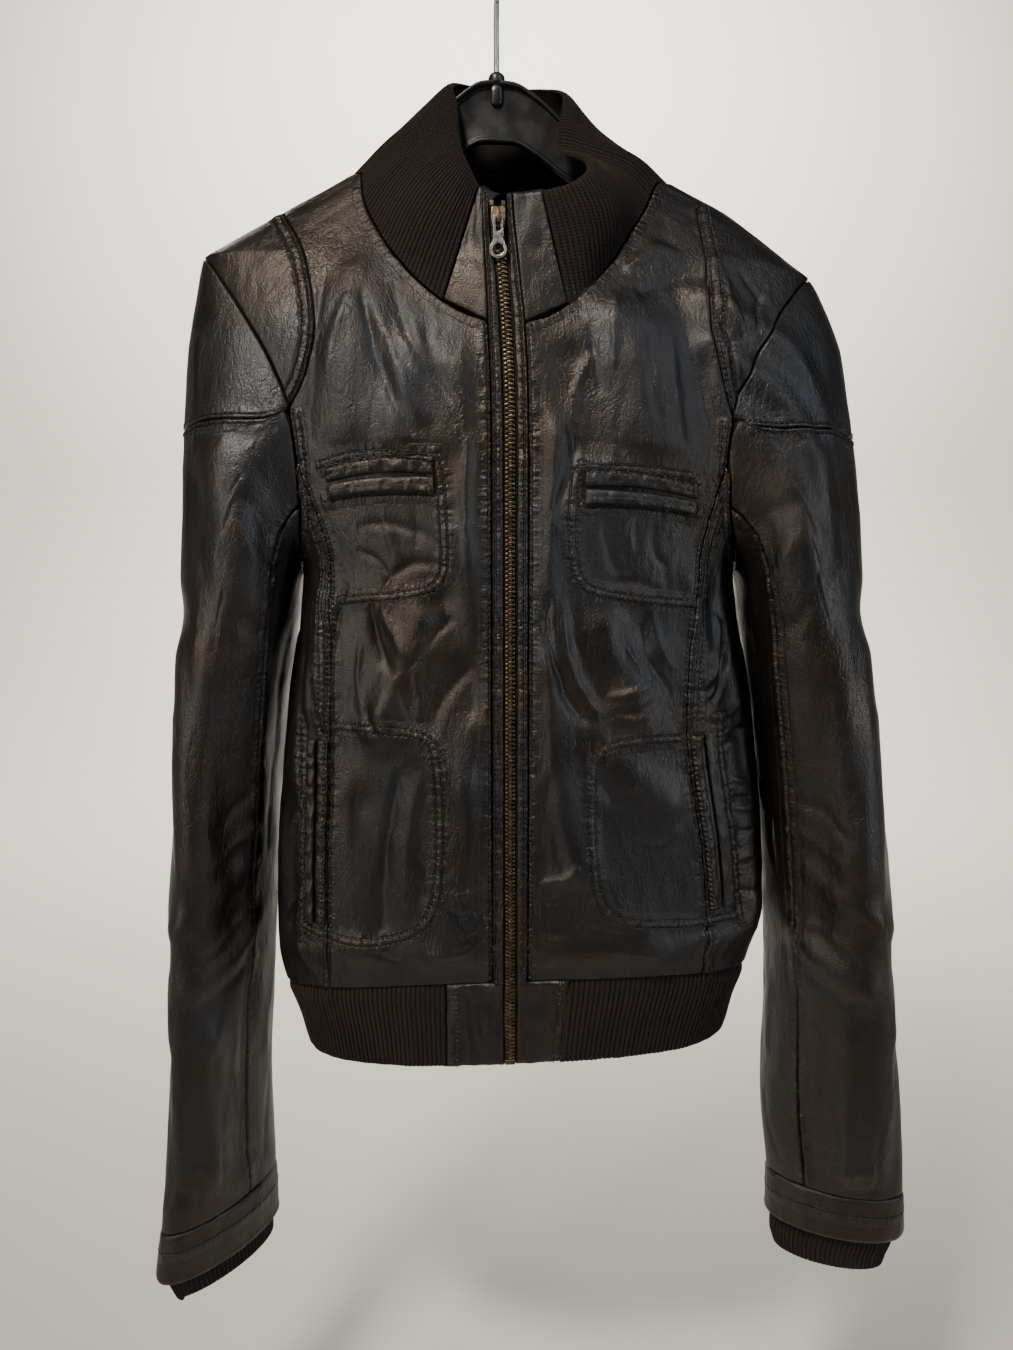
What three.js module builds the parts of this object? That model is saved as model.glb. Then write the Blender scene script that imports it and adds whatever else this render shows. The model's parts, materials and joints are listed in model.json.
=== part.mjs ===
// Leather jacket with knitted collar, cuffs and hem, zipped up and hung on a plastic hanger.
// Millimetres. +X is the jacket's left as worn, +Y its back, +Z up.
// The origin is the inside top of the hanger's hook, where a rail holds it.

import * as THREE from 'three';

// Driving dimensions
const LEATHER = 2.0;
const KNIT = 3.6;
const SEAM = 0.3;
const HALF = SEAM / 2;
const LEVEL = -24;
const HIP_Z = -633;
const HEM_Z = -690;
const TIP_Z = -190;
const UNDERARM_Z = -378;
const NECK_Z = -233;
const ARM_POINTS = 20;
const PLACKET_IN = 4.0;
const PLACKET_OUT = 10.5;
const PANEL_IN = 10.8;
const WIRE = 1.75;
const HOOK_IN = 19;

const V = (x, y, z) => new THREE.Vector3(x, y, z);
const mix = (a, b, t) => a + (b - a) * t;
const clamp = (x, a, b) => Math.min(b, Math.max(a, x));

// A smooth curve through pairs of position and value, flat beyond its ends
function curve(...pairs) {
  const p = pairs.slice().sort((a, b) => a[0] - b[0]);
  const n = p.length;
  const d = [];
  for (let i = 0; i < n - 1; i++) d.push((p[i + 1][1] - p[i][1]) / (p[i + 1][0] - p[i][0]));
  const m = p.map((_, i) => {
    if (i === 0) return d[0];
    if (i === n - 1) return d[n - 2];
    if (d[i - 1] * d[i] <= 0) return 0;
    return 2 * d[i - 1] * d[i] / (d[i - 1] + d[i]);
  });
  return (x) => {
    if (x <= p[0][0]) return p[0][1];
    if (x >= p[n - 1][0]) return p[n - 1][1];
    let i = 0;
    while (x > p[i + 1][0]) i++;
    const h = p[i + 1][0] - p[i][0];
    const t = (x - p[i][0]) / h;
    const a = (1 + 2 * t) * (1 - t) * (1 - t);
    const b = t * (1 - t) * (1 - t);
    const c = t * t * (3 - 2 * t);
    const e = t * t * (t - 1);
    return a * p[i][1] + b * h * m[i] + c * p[i + 1][1] + e * h * m[i + 1];
  };
}

// Body section by height: half width, depth in front, depth behind, squareness
const bodyWidth = curve([-700, 139], [-670, 147], [-645, 156], [-607, 164], [-560, 162], [-510, 156.5],
  [-450, 149], [-400, 141], [-378, 139], [-345, 152], [-310, 168], [-283, 176], [-240, 184], [-213, 188],
  [TIP_Z, 189.5]);
const halfWidth = (z) => (z > TIP_Z ? mix(189.5, 93, (z - TIP_Z) / (-131 - TIP_Z)) : bodyWidth(z));
const frontDepth = curve([-700, 60], [-640, 64], [-607, 69], [-500, 73], [-400, 73], [-300, 70], [-262, 66],
  [-233, 60], [-220, 54.5], [-201, 45], [-172, 29], [-150, 18], [-131, 8]);
const backDepth = curve([-700, 46], [-640, 50], [-607, 54], [-400, 56], [-300, 54], [-230, 50], [-190, 47],
  [-160, 43], [-131, 38]);
const square = curve([-700, 2.5], [-378, 2.6], [-283, 3], [-131, 2.4]);

// How the hung jacket leans: middle line, middle of the two sides, and drop per millimetre to its left
const middle = curve([-700, 8.6], [-305, 8.3], [-270, 7.8], [-231, 6], [-205, 4], [-172, 1.3], [-157, 0.6]);
const between = curve([-700, 13], [-636, 12.5], [-607, 15], [-378, 14], [-283, 9], [-190, 6.5], [-131, 9]);
const lean = curve([-700, -0.04], [-633, -0.04], [-400, -0.005], [-200, 0.035], [-131, 0.04]);

function place(x, y, z) {
  const s = clamp((Math.abs(x) - 14) / (halfWidth(z) - 14), 0, 1);
  const swell = x > 0 ? 6.5 * Math.exp(-(((x - 138) / 38) ** 2)) * clamp((z + 250) / 70, 0, 1) : 0;
  return V(x + mix(middle(z), between(z), s), y, z - lean(z) * x + swell + LEVEL);
}

// A quarter of a rounded section, stepped by its length
const quarters = new Map();
function quarter(w, d, n) {
  const key = `${w.toFixed(3)} ${d.toFixed(3)} ${n.toFixed(3)}`;
  if (quarters.has(key)) return quarters.get(key);
  const rows = [[0, d, 0]];
  let sum = 0;
  for (let i = 1; i <= 60; i++) {
    const t = (i / 60) * Math.PI / 2;
    const x = w * Math.sin(t) ** (2 / n);
    const y = d * Math.max(0, Math.cos(t)) ** (2 / n);
    const last = rows[i - 1];
    sum += Math.hypot(x - last[0], y - last[1]);
    rows.push([x, y, sum]);
  }
  quarters.set(key, rows);
  return rows;
}

function along(rows, column, value) {
  let i = 1;
  while (i < rows.length - 1 && rows[i][column] < value) i++;
  const t = (value - rows[i - 1][column]) / (rows[i][column] - rows[i - 1][column]);
  return rows[i].map((v, k) => mix(rows[i - 1][k], v, t));
}

const frontQuarter = (z) => quarter(halfWidth(z), frontDepth(z), square(z));
const backQuarter = (z) => quarter(halfWidth(z), backDepth(z), square(z));
const quarterLength = (z) => frontQuarter(z)[60][2];

// Steps round the body: 0 is the middle of the front, 1 the left side, 2 the middle of the back
function bodyRing(a, z) {
  const s = a < 0 ? -1 : 1;
  const u = Math.abs(a);
  if (u <= 1) {
    const rows = frontQuarter(z);
    const [x, y] = along(rows, 2, u * rows[60][2]);
    return [s * x, -y];
  }
  const rows = backQuarter(z);
  const [x, y] = along(rows, 2, (2 - u) * rows[60][2]);
  return [s * x, y];
}

const stepAtX = (x, z) => {
  const rows = frontQuarter(z);
  return along(rows, 0, Math.min(x, rows[60][0] - 0.001))[2] / rows[60][2];
};
const stepAtXBack = (x, z) => {
  const rows = backQuarter(z);
  return 2 - along(rows, 0, Math.min(x, rows[60][0] - 0.001))[2] / rows[60][2];
};

// The largest folds: start, end, half width and height, on a flat map of 200 mm from front to side
const FOLDS = [
  [-52, -250, -66, -300, 15, 3.5], [-84, -205, -92, -292, 13, 3.5], [-28, -262, -34, -420, 16, 3],
  [34, -255, 44, -312, 13, -3], [62, -225, 84, -300, 16, 3.5], [96, -215, 104, -290, 12, -3],
  [112, -214, 150, -236, 8, 2.5], [112, -240, 148, -268, 8, 2.5], [26, -300, 20, -430, 13, 4],
  [20, -430, 38, -560, 14, 4], [-62, -405, -88, -470, 12, 4], [-44, -395, -22, -455, 13, -3.5],
  [-84, -460, -30, -505, 12, 3.5], [-20, -470, -34, -590, 15, 3], [-96, -520, -70, -640, 14, -2.5],
  [60, -410, 84, -470, 12, 3.5], [86, -410, 58, -450, 11, -2.5], [54, -480, 96, -520, 13, 3],
  [46, -560, 92, -622, 15, 2.5], [-140, -400, -150, -500, 13, 3.5], [-135, -520, -155, -600, 12, -3],
  [140, -400, 150, -500, 12, -3], [136, -500, 158, -600, 13, 3.5], [120, -380, 136, -450, 10, 2.5],
  [-150, -610, 150, -616, 9, 2], [-400, -610, -250, -616, 9, 2], [250, -616, 400, -610, 9, 2],
  [-318, -235, -336, -400, 20, 4], [336, -245, 330, -430, 20, 3.5], [-262, -300, -285, -410, 17, 3],
  [268, -300, 290, -420, 17, 3], [-392, -260, -372, -560, 24, -3], [-318, -470, -338, -590, 20, 3],
  [300, -480, 322, -590, 20, 3], [-232, -420, -250, -560, 15, -3], [236, -440, 256, -570, 15, -3],
  [372, -440, 380, -590, 20, 3],
];

// Where folds fade: the zip, the seams' ends, the chest pockets
function calm(q, z) {
  let k = clamp((Math.abs(q) - 11) / 14, 0, 1);
  k *= clamp((-z - 160) / 60, 0, 1) * clamp((z + 636) / 14, 0, 1);
  const pocket = Math.hypot(Math.max(0, Math.abs(Math.abs(q) - 78) - 40) / 14, Math.max(0, Math.abs(z + 327) - 12) / 14);
  k *= 0.15 + 0.85 * clamp(pocket, 0, 1);
  const slit = Math.hypot(Math.max(0, Math.abs(Math.abs(q) - 131) - 15) / 12, Math.max(0, Math.abs(z + 536) - 62) / 14);
  k *= 0.05 + 0.95 * clamp(slit, 0, 1);
  return k;
}

function foldHeight(q, z) {
  let h = 0;
  for (const [q0, z0, q1, z1, w, top] of FOLDS) {
    const dq = q1 - q0;
    const dz = z1 - z0;
    const t = clamp(((q - q0) * dq + (z - z0) * dz) / (dq * dq + dz * dz), 0, 1);
    const d = Math.hypot(q - q0 - t * dq, z - z0 - t * dz);
    h += top * Math.exp(-((d / w) ** 2));
  }
  return h * calm(q, z);
}

const foldAt = (a, z) => (Math.abs(a) >= 1.995 ? foldHeight(399, z) * 0.5 + foldHeight(-399, z) * 0.5 : foldHeight(a * 200, z));

function smoothBody(a, z) {
  const [x, y] = bodyRing(a, z);
  return place(x, y, z);
}

// A point of the body wall, out from its smooth form by its folds and a given offset
function body(a, z, out = 0) {
  const e = 0.004;
  const f = 1.2;
  const du = smoothBody(a + e, z).sub(smoothBody(a - e, z));
  const dv = smoothBody(a, z + f).sub(smoothBody(a, z - f));
  const n = du.cross(dv).normalize();
  const p = smoothBody(a, z);
  const c = V(mix(middle(z), between(z), 0.5), 0, p.z);
  if (n.dot(p.clone().sub(c)) < 0) n.negate();
  return p.addScaledVector(n, foldAt(a, z) + out);
}

// Solids
const materials = {};
function material(name, colour, rough, metal = 0) {
  materials[name] = { colour, rough, metal };
}
material('leather', 0x2b211d, 0.45);
material('knit', 0x2a211c, 0.95);
material('tape', 0x1d1714, 0.9);
material('brass', 0x8a6a3c, 0.4, 0.9);
material('steel', 0xb9bcc0, 0.3, 0.9);
material('plastic', 0x17181a, 0.4);

const group = new THREE.Group();
group.name = 'leather_jacket';

function volume(points, triangles) {
  let v = 0;
  for (const [a, b, c] of triangles) v += points[a].dot(points[b].clone().cross(points[c]));
  return v / 6;
}

function addSolid(name, kind, points, triangles) {
  const flip = volume(points, triangles) < 0;
  const geometry = new THREE.BufferGeometry();
  geometry.setAttribute('position', new THREE.Float32BufferAttribute(points.flatMap((p) => [p.x, p.y, p.z]), 3));
  geometry.setIndex(triangles.flatMap(([a, b, c]) => (flip ? [a, c, b] : [a, b, c])));
  geometry.computeVertexNormals();
  addGeometry(name, kind, geometry);
}

function addGeometry(name, kind, geometry) {
  const { colour, rough, metal } = materials[kind];
  const mesh = new THREE.Mesh(geometry, new THREE.MeshStandardMaterial({
    color: colour, roughness: rough, metalness: metal, flatShading: true,
  }));
  mesh.name = name;
  group.add(mesh);
}

// A wall between an outer and an inner sheet of points, open or joined into a tube
function addWall(name, kind, outer, inner, tube = false) {
  const rows = outer.length;
  const cols = outer[0].length;
  const tris = [];
  const o = (r, c) => r * cols + (c % cols);
  const i = (r, c) => rows * cols + r * cols + (c % cols);
  const quad = (a, b, c, d) => tris.push([a, b, c], [a, c, d]);
  const last = tube ? cols : cols - 1;
  for (let c = 0; c < last; c++) {
    for (let r = 0; r < rows - 1; r++) {
      quad(o(r, c), o(r, c + 1), o(r + 1, c + 1), o(r + 1, c));
      quad(i(r, c + 1), i(r, c), i(r + 1, c), i(r + 1, c + 1));
    }
    quad(o(0, c + 1), o(0, c), i(0, c), i(0, c + 1));
    quad(o(rows - 1, c), o(rows - 1, c + 1), i(rows - 1, c + 1), i(rows - 1, c));
  }
  if (!tube) {
    for (let r = 0; r < rows - 1; r++) {
      quad(o(r, 0), o(r + 1, 0), i(r + 1, 0), i(r, 0));
      quad(o(r + 1, cols - 1), o(r, cols - 1), i(r, cols - 1), i(r + 1, cols - 1));
    }
  }
  addSolid(name, kind, [...outer.flat(), ...inner.flat()], tris);
}

// A ribbed wall: raised ribs outside, a plain sheet inside with one column to every few outside
function addRibbed(name, kind, outer, inner, every, tube = false) {
  const rows = outer.length;
  const co = outer[0].length;
  const ci = inner[0].length;
  const tris = [];
  const o = (r, c) => r * co + (tube ? c % co : c);
  const i = (r, c) => rows * co + r * ci + (tube ? c % ci : c);
  const lastOut = tube ? co : co - 1;
  const lastIn = tube ? ci : ci - 1;
  for (let r = 0; r < rows - 1; r++) {
    for (let c = 0; c < lastOut; c++) {
      tris.push([o(r, c), o(r, c + 1), o(r + 1, c + 1)], [o(r, c), o(r + 1, c + 1), o(r + 1, c)]);
    }
    for (let c = 0; c < lastIn; c++) {
      tris.push([i(r, c + 1), i(r, c), i(r + 1, c)], [i(r, c + 1), i(r + 1, c), i(r + 1, c + 1)]);
    }
    if (!tube) {
      tris.push([o(r, 0), o(r + 1, 0), i(r + 1, 0)], [o(r, 0), i(r + 1, 0), i(r, 0)]);
      tris.push([o(r + 1, lastOut), o(r, lastOut), i(r, lastIn)], [o(r + 1, lastOut), i(r, lastIn), i(r + 1, lastIn)]);
    }
  }
  for (const [r, turn] of [[0, true], [rows - 1, false]]) {
    const add = (a, b, c) => tris.push(turn ? [b, a, c] : [a, b, c]);
    for (let c = 0; c < lastIn; c++) {
      for (let k = 0; k < every; k++) {
        const to = k < every / 2 ? c : c + 1;
        add(o(r, c * every + k), o(r, c * every + k + 1), i(r, to));
      }
      add(i(r, c + 1), i(r, c), o(r, c * every + every / 2));
    }
  }
  addSolid(name, kind, [...outer.flat(), ...inner.flat()], tris);
}

// Seam lines, as distance from the middle by height, for each side
const SIDES = [-1, 1];
const label = (s) => (s < 0 ? 'right' : 'left');
const neckX = curve([NECK_Z, PANEL_IN], [-228.5, 23], [-220, 37], [-211, 48], [-201, 57], [-187, 68],
  [-172, 77], [-155, 86], [-140, 90.5], [-135, 92]);
const shoulderSeamX = {
  '-1': curve([-163, 139], [-172, 132], [-181, 125.5], [-197, 119], [-235, 113.5], [-262, 119], [-284, 131]),
  '1': curve([-155, 117], [-193, 121], [-233, 120], [-262, 126], [-284, 131]),
};
const princessX = {
  '-1': curve([-313, 129], [-339, 121], [-370, 113], [-465, 115], [-560, 119], [-640, 121]),
  '1': curve([-313, 128], [-339, 118], [-370, 110], [-465, 104], [-560, 116], [-640, 124]),
};
const armFrontX = curve([TIP_Z, 189.5], [-194.6, 184], [-208, 173], [-228.7, 158], [-255, 142], [-284, 131],
  [-313, 129], [-339, 130], [-360, 133.5], [-373.4, 137], [UNDERARM_Z, 139]);
const armBackX = curve([TIP_Z, 189.5], [-194.6, 186], [-208, 178], [-228.7, 167], [-255, 156], [-284, 149],
  [-313, 145], [-339, 142], [-360, 140], [-373.4, 139], [UNDERARM_Z, 139]);
const ARM_ROWS = [];
for (let j = 0; j <= ARM_POINTS / 2; j++) {
  const middleZ = (TIP_Z + UNDERARM_Z) / 2;
  ARM_ROWS.push(middleZ + (TIP_Z - middleZ) * Math.cos(2 * Math.PI * j / ARM_POINTS));
}
const LOW_ROWS = [-394, -412, -432, -454, -476, -498, -520, -542, -564, -586, -604, -618, HIP_Z];
const TOP_ROWS = [-135, -140, -147, -155, -163, -172, -181];
const armFront = (z) => {
  if (z >= TIP_Z - 0.01 || z <= UNDERARM_Z + 0.01) return 1;
  return stepAtX(armFrontX(z), z);
};
const armBack = (z) => {
  if (z >= TIP_Z - 0.01 || z <= UNDERARM_Z + 0.01) return 1;
  return stepAtXBack(armBackX(z), z);
};

// The hip seam drops towards the sides
const hipDrop = (a) => 15 * Math.min(1, Math.abs(a)) ** 2 * (Math.abs(a) > 1 ? mix(1, 0.6, Math.abs(a) - 1) : 1);

// A panel of the body between two seam lines, by rows of height and first and last step
function bodyPanel(name, s, rows, cols) {
  const outer = [];
  const inner = [];
  rows.forEach(([height, from, to], r) => {
    const base = r === 0 ? height - HALF : r === rows.length - 1 ? height + HALF : height;
    const inset = HALF / quarterLength(base);
    const lineOut = [];
    const lineIn = [];
    for (let c = 0; c <= cols; c++) {
      const a = mix(from + inset, to - inset, c / cols);
      const low = clamp((-586 - base) / (-586 - HIP_Z), 0, 1);
      const z = base - hipDrop(a) * low;
      lineOut.push(body(s * a, z));
      lineIn.push(body(s * a, z, -LEATHER));
    }
    outer.push(lineOut);
    inner.push(lineIn);
  });
  addWall(name, 'leather', outer, inner);
}

const NECK_ROWS = [-135, -140, -147, -155, -163, -172, -187, ARM_ROWS[1], ARM_ROWS[2], -220, ARM_ROWS[3], NECK_Z];
const fromNeck = (z) => stepAtX(z > NECK_Z + 0.01 ? neckX(z) : PANEL_IN, z);
const meet = 5;
const split = 6;
const blend = (p, q, t) => p.map((v, i) => mix(v, q[i], t));

for (const s of SIDES) {
  const leafTop = s < 0 ? -163 : -155;
  const aboveLeaf = s < 0 ? -155 : -147;

  // Front panel, from the neck to the hip seam
  const rows = [...NECK_ROWS, ...ARM_ROWS.filter((z) => z < NECK_Z - 8), ...LOW_ROWS];
  const outEdge = (z) => {
    if (z > leafTop + 0.01) return 1;
    if (z > ARM_ROWS[meet] + 0.01) return stepAtX(shoulderSeamX[s](z), z);
    if (z > ARM_ROWS[split] + 0.01) return armFront(z);
    return stepAtX(princessX[s](z), z);
  };
  bodyPanel(`front_panel_${label(s)}`, s, rows.map((z) => [z, fromNeck(z), outEdge(z)]), 7);

  // Shoulder panel, a long leaf from the shoulder seam down the armhole
  const leafZ = NECK_ROWS.filter((z) => z <= leafTop + 0.01).concat(ARM_ROWS.slice(4, meet + 1));
  const leaf = leafZ.map((z) => [z, outEdge(z), z > TIP_Z ? 1 : armFront(z)]);
  const leafRows = [blend([aboveLeaf, 1, 1], leaf[0], 0.2), ...leaf.slice(0, -1),
    blend(leaf[leaf.length - 2], leaf[leaf.length - 1], 0.88)];
  bodyPanel(`shoulder_panel_${label(s)}`, s, leafRows, 3);

  // Side panel, from the armhole to the hip seam
  const sideZ = [...ARM_ROWS.slice(split), ...LOW_ROWS];
  const side = sideZ.map((z) => [z, stepAtX(princessX[s](z), z), z > UNDERARM_Z ? armFront(z) : 1]);
  side[0][1] = side[0][2] = armFront(ARM_ROWS[split]);
  side[0] = blend(side[0], side[1], 0.14);
  bodyPanel(`side_panel_${label(s)}`, s, side, 4);
}

// Back panel, shoulder to shoulder, down to the hip seam
{
  const rows = [...TOP_ROWS, ...ARM_ROWS, ...LOW_ROWS];
  const outer = [];
  const inner = [];
  rows.forEach((row, r) => {
    const base = r === 0 ? row - 0.4 : r === rows.length - 1 ? row + HALF : row;
    const a0 = armBack(row) + HALF / quarterLength(base);
    const lineOut = [];
    const lineIn = [];
    for (let c = 0; c <= 16; c++) {
      const u = mix(a0, 4 - a0, c / 16);
      const a = u > 2 ? u - 4 : u;
      const low = clamp((-586 - base) / (-586 - HIP_Z), 0, 1);
      const dip = r === 0 ? 2 * Math.sin((Math.abs(a) - 1) * Math.PI / 2) : 0;
      const z = base - hipDrop(a) * low - dip;
      lineOut.push(body(a, z));
      lineIn.push(body(a, z, -LEATHER));
    }
    outer.push(lineOut);
    inner.push(lineIn);
  });
  addWall('back_panel', 'leather', outer, inner);
}

// Hem: a knitted band round the body, with leather blocks beside the zip
const blockX = { '-1': curve([HEM_Z, 46.5], [HIP_Z, 41.5]), 1: curve([HEM_Z, 35.2], [HIP_Z, 36.5]) };
const hemTop = (a) => HIP_Z - hipDrop(a) - SEAM;
const hemBottom = (a) => HEM_Z - 4 * Math.min(1, Math.abs(a)) ** 2;
{
  const edge = (s, z) => stepAtX(blockX[s](z), HIP_Z) + HALF / 190;
  const ribs = 104;
  // Each row: height from the seam to the hem, rise above it, distance out, rib height, thickness
  const rows = [[0, -0.9, -2.6, 0.3, 1.6], [0.12, 0, 0.2, 0.6, KNIT], [0.92, 0, 0.9, 0.6, KNIT],
    [1, 0, -0.4, 0.5, 1.8]];
  const outer = [];
  const inner = [];
  for (const [v, rise, out, rib, thick] of rows) {
    const lineOut = [];
    const lineIn = [];
    const zMap = mix(HIP_Z, HEM_Z, v);
    for (let c = 0; c <= ribs * 2; c++) {
      const u = mix(edge(1, zMap), 4 - edge(-1, zMap), c / (ribs * 2));
      const a = u > 2 ? u - 4 : u;
      const z = mix(hemTop(a), hemBottom(a), v) + rise;
      lineOut.push(body(a, z, out + (c % 2 ? rib : -rib)));
      if (c % 4 === 0) lineIn.push(body(a, z, out - thick));
    }
    outer.push(lineOut);
    inner.push(lineIn);
  }
  addRibbed('hem_rib', 'knit', outer, inner, 4);
}
for (const s of SIDES) {
  const outer = [];
  const inner = [];
  for (const v of [0.001, 0.5, 1]) {
    const zMap = mix(HIP_Z, HEM_Z, v);
    const a0 = stepAtX(4.6, HIP_Z);
    const a1 = stepAtX(blockX[s](zMap), HIP_Z) - HALF / 190;
    const lineOut = [];
    const lineIn = [];
    for (let c = 0; c <= 4; c++) {
      const a = mix(a0, a1, c / 4);
      const z = mix(HIP_Z - SEAM - hipDrop(a), hemBottom(a) + 0.2, v);
      lineOut.push(body(s * a, z, 0.6));
      lineIn.push(body(s * a, z, -LEATHER - 0.6));
    }
    outer.push(lineOut);
    inner.push(lineIn);
  }
  addWall(`hem_block_${label(s)}`, 'leather', outer, inner);
}

// Zip: plackets, tapes and chain up the middle, to the top of the collar
const zipY = curve([-700, -60], [-640, -64], [-607, -69], [-500, -73], [-400, -73], [-300, -70], [-262, -66],
  [-233, -60], [-205, -56], [-180, -52.5], [-157, -50]);
function zipPoint(z, across, out) {
  return V(middle(z) + across, zipY(z) - out, z - lean(z) * across + LEVEL);
}
function addStrip(name, kind, zs, x0, x1, front, back) {
  const outer = zs.map((z) => [zipPoint(z, x0(z), front), zipPoint(z, x1(z), front)]);
  const inner = zs.map((z) => [zipPoint(z, x0(z), back), zipPoint(z, x1(z), back)]);
  addWall(name, kind, outer, inner);
}
const zipRows = [];
for (let z = -158; z > -250; z -= 12) zipRows.push(z);
for (let z = -254; z > HIP_Z + 8; z -= 27) zipRows.push(z);
const placketRows = [...zipRows, HIP_Z + HALF];
const placketOut = curve([-233, PLACKET_OUT], [-158, 8.4]);
const opening = curve([-205, PLACKET_IN], [-188, 5.4], [-158, 5.4]);
for (const s of SIDES) {
  addStrip(`placket_${label(s)}`, 'leather', placketRows, (z) => s * opening(z), (z) => s * placketOut(z), 1.1, -1.1);
  addStrip(`zip_tape_${label(s)}`, 'tape', [...zipRows.slice(1), HIP_Z + 1, -660, HEM_Z + 1],
    (z) => s * 2.2, (z) => s * (z < HIP_Z + 2 ? 4 : 8.6), -1.5, -2.3);
}
const chainRows = [-179.5, ...zipRows.filter((z) => z < -185), HIP_Z, -660, HEM_Z + 4.4];
addStrip('zip_chain', 'brass', chainRows, () => -2.8, () => 2.8, 0.7, -1.1);
addStrip('zip_bottom_stop', 'brass', [HEM_Z + 4, HEM_Z + 0.4], () => -3.2, () => 3.2, 1.4, -1.2);

// Slider with its bridge, and the pull tab that swings on it
const SLIDER_Z = -173;
function settle(geometry, z = SLIDER_Z, out = 0) {
  geometry.rotateX(-Math.atan((zipY(z + 10) - zipY(z - 10)) / 20));
  const p = zipPoint(z, 0, out);
  geometry.translate(p.x, p.y, p.z);
  return geometry;
}
function outline(points) {
  return new THREE.Shape(points.map(([x, y]) => new THREE.Vector2(x, y)));
}
{
  const shape = outline([[-4.2, 5.4], [-3.4, 6], [3.4, 6], [4.2, 5.4], [4.3, 0], [3.6, -5.2], [2.8, -5.8],
    [-2.8, -5.8], [-3.6, -5.2], [-4.3, 0]]);
  const plate = new THREE.ExtrudeGeometry(shape, { depth: 4.4, bevelEnabled: false });
  plate.rotateX(Math.PI / 2);
  plate.translate(0, 1.2, 0);
  addGeometry('zip_slider', 'brass', settle(plate));
}
{
  const arch = outline([[0.3, -4.2], [3.6, -4.2], [4.4, -3.4], [4.4, 3.4], [3.6, 4.2], [0.3, 4.2], [0.3, 2.8],
    [2.9, 2.8], [3.1, 2.4], [3.1, -2.4], [2.9, -2.8], [0.3, -2.8]]);
  const bridge = new THREE.ExtrudeGeometry(arch, { depth: 1.8, bevelEnabled: false });
  bridge.translate(0, 0, -0.9);
  bridge.applyMatrix4(new THREE.Matrix4().set(0, 0, -1, 0, -1, 0, 0, 0, 0, 1, 0, 0, 0, 0, 0, 1));
  addGeometry('slider_bridge', 'brass', settle(bridge, SLIDER_Z, 3.2));
}

// Pull tab: a bar under the bridge, two arms and a plate with a hole
{
  const eyeZ = -18.3;
  const rim = 5.1;
  const round = (r, from, to, n) => Array.from({ length: n + 1 }, (_, i) => {
    const t = mix(from, to, i / n) * Math.PI / 180;
    return [r * Math.cos(t), eyeZ + r * Math.sin(t)];
  });
  const tab = outline([[-2.6, 0.8], [2.6, 0.8], [2.9, 0.2], [2.9, -7], [3.3, -11.5], ...round(rim, 40, -220, 12),
    [-3.3, -11.5], [-2.9, -7], [-2.9, 0.2]]);
  const slot = new THREE.Path([[-1.4, -0.8], [-1.4, -8.4], [1.4, -8.4], [1.4, -0.8]]
    .map(([x, y]) => new THREE.Vector2(x, y)));
  const eye = new THREE.Path(round(3.4, 0, 337.5, 15).map(([x, y]) => new THREE.Vector2(x, y)));
  tab.holes.push(slot, eye);
  const plate = new THREE.ExtrudeGeometry(tab, { depth: 1.3, bevelEnabled: false, curveSegments: 10 });
  plate.rotateX(Math.PI / 2);
  plate.translate(0, 0.65, 0);
  plate.rotateX(6.2 * Math.PI / 180);
  addGeometry('pull_tab', 'steel', settle(plate, SLIDER_Z, 4.95));
}

// Sleeves
const sleeveShape = {
  // Height: middle across, middle back to front, half length, half breadth, turn of the long axis
  '-1': {
    x: curve([-860, -195], [-800, -191], [-745, -189.3], [-690, -186.3], [-600, -181], [-510, -175.5],
      [-450, -170], [-400, -164.5]),
    long: curve([-860, 49], [-800, 48], [-745, 47], [-690, 49], [-600, 54], [-510, 58], [-400, 66]),
    broad: curve([-860, 21], [-800, 20], [-745, 19.5], [-690, 20], [-600, 22.5], [-510, 27], [-450, 31], [-400, 34.5]),
    turn: curve([-860, 38], [-800, 32], [-745, 28], [-690, 24], [-600, 18], [-510, 10], [-400, 0]),
    hemZ: -806, endZ: -841, cuffZ: -860, slope: 0.1, shift: 6, draw: 2,
  },
  1: {
    x: curve([-860, 234], [-800, 232], [-745, 227.5], [-690, 224.6], [-635, 221], [-580, 216.8], [-510, 209.5],
      [-450, 202], [-400, 195]),
    long: curve([-860, 45], [-800, 45], [-745, 47.5], [-690, 48], [-635, 51], [-580, 55], [-510, 58], [-400, 65]),
    broad: curve([-860, 23], [-800, 24], [-745, 26], [-690, 26], [-635, 28.5], [-580, 31], [-510, 34.5], [-400, 36.5]),
    turn: curve([-860, -74], [-800, -70], [-745, -60], [-690, -45], [-635, -28], [-580, -20], [-510, -10], [-400, 0]),
    hemZ: -793, endZ: -824, cuffZ: -853, slope: 0.03, shift: -4, draw: 2.5,
  },
};
const sleeveY = curve([-860, -20], [-717, -18], [-600, -14], [-510, -10], [-400, -4]);

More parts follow.
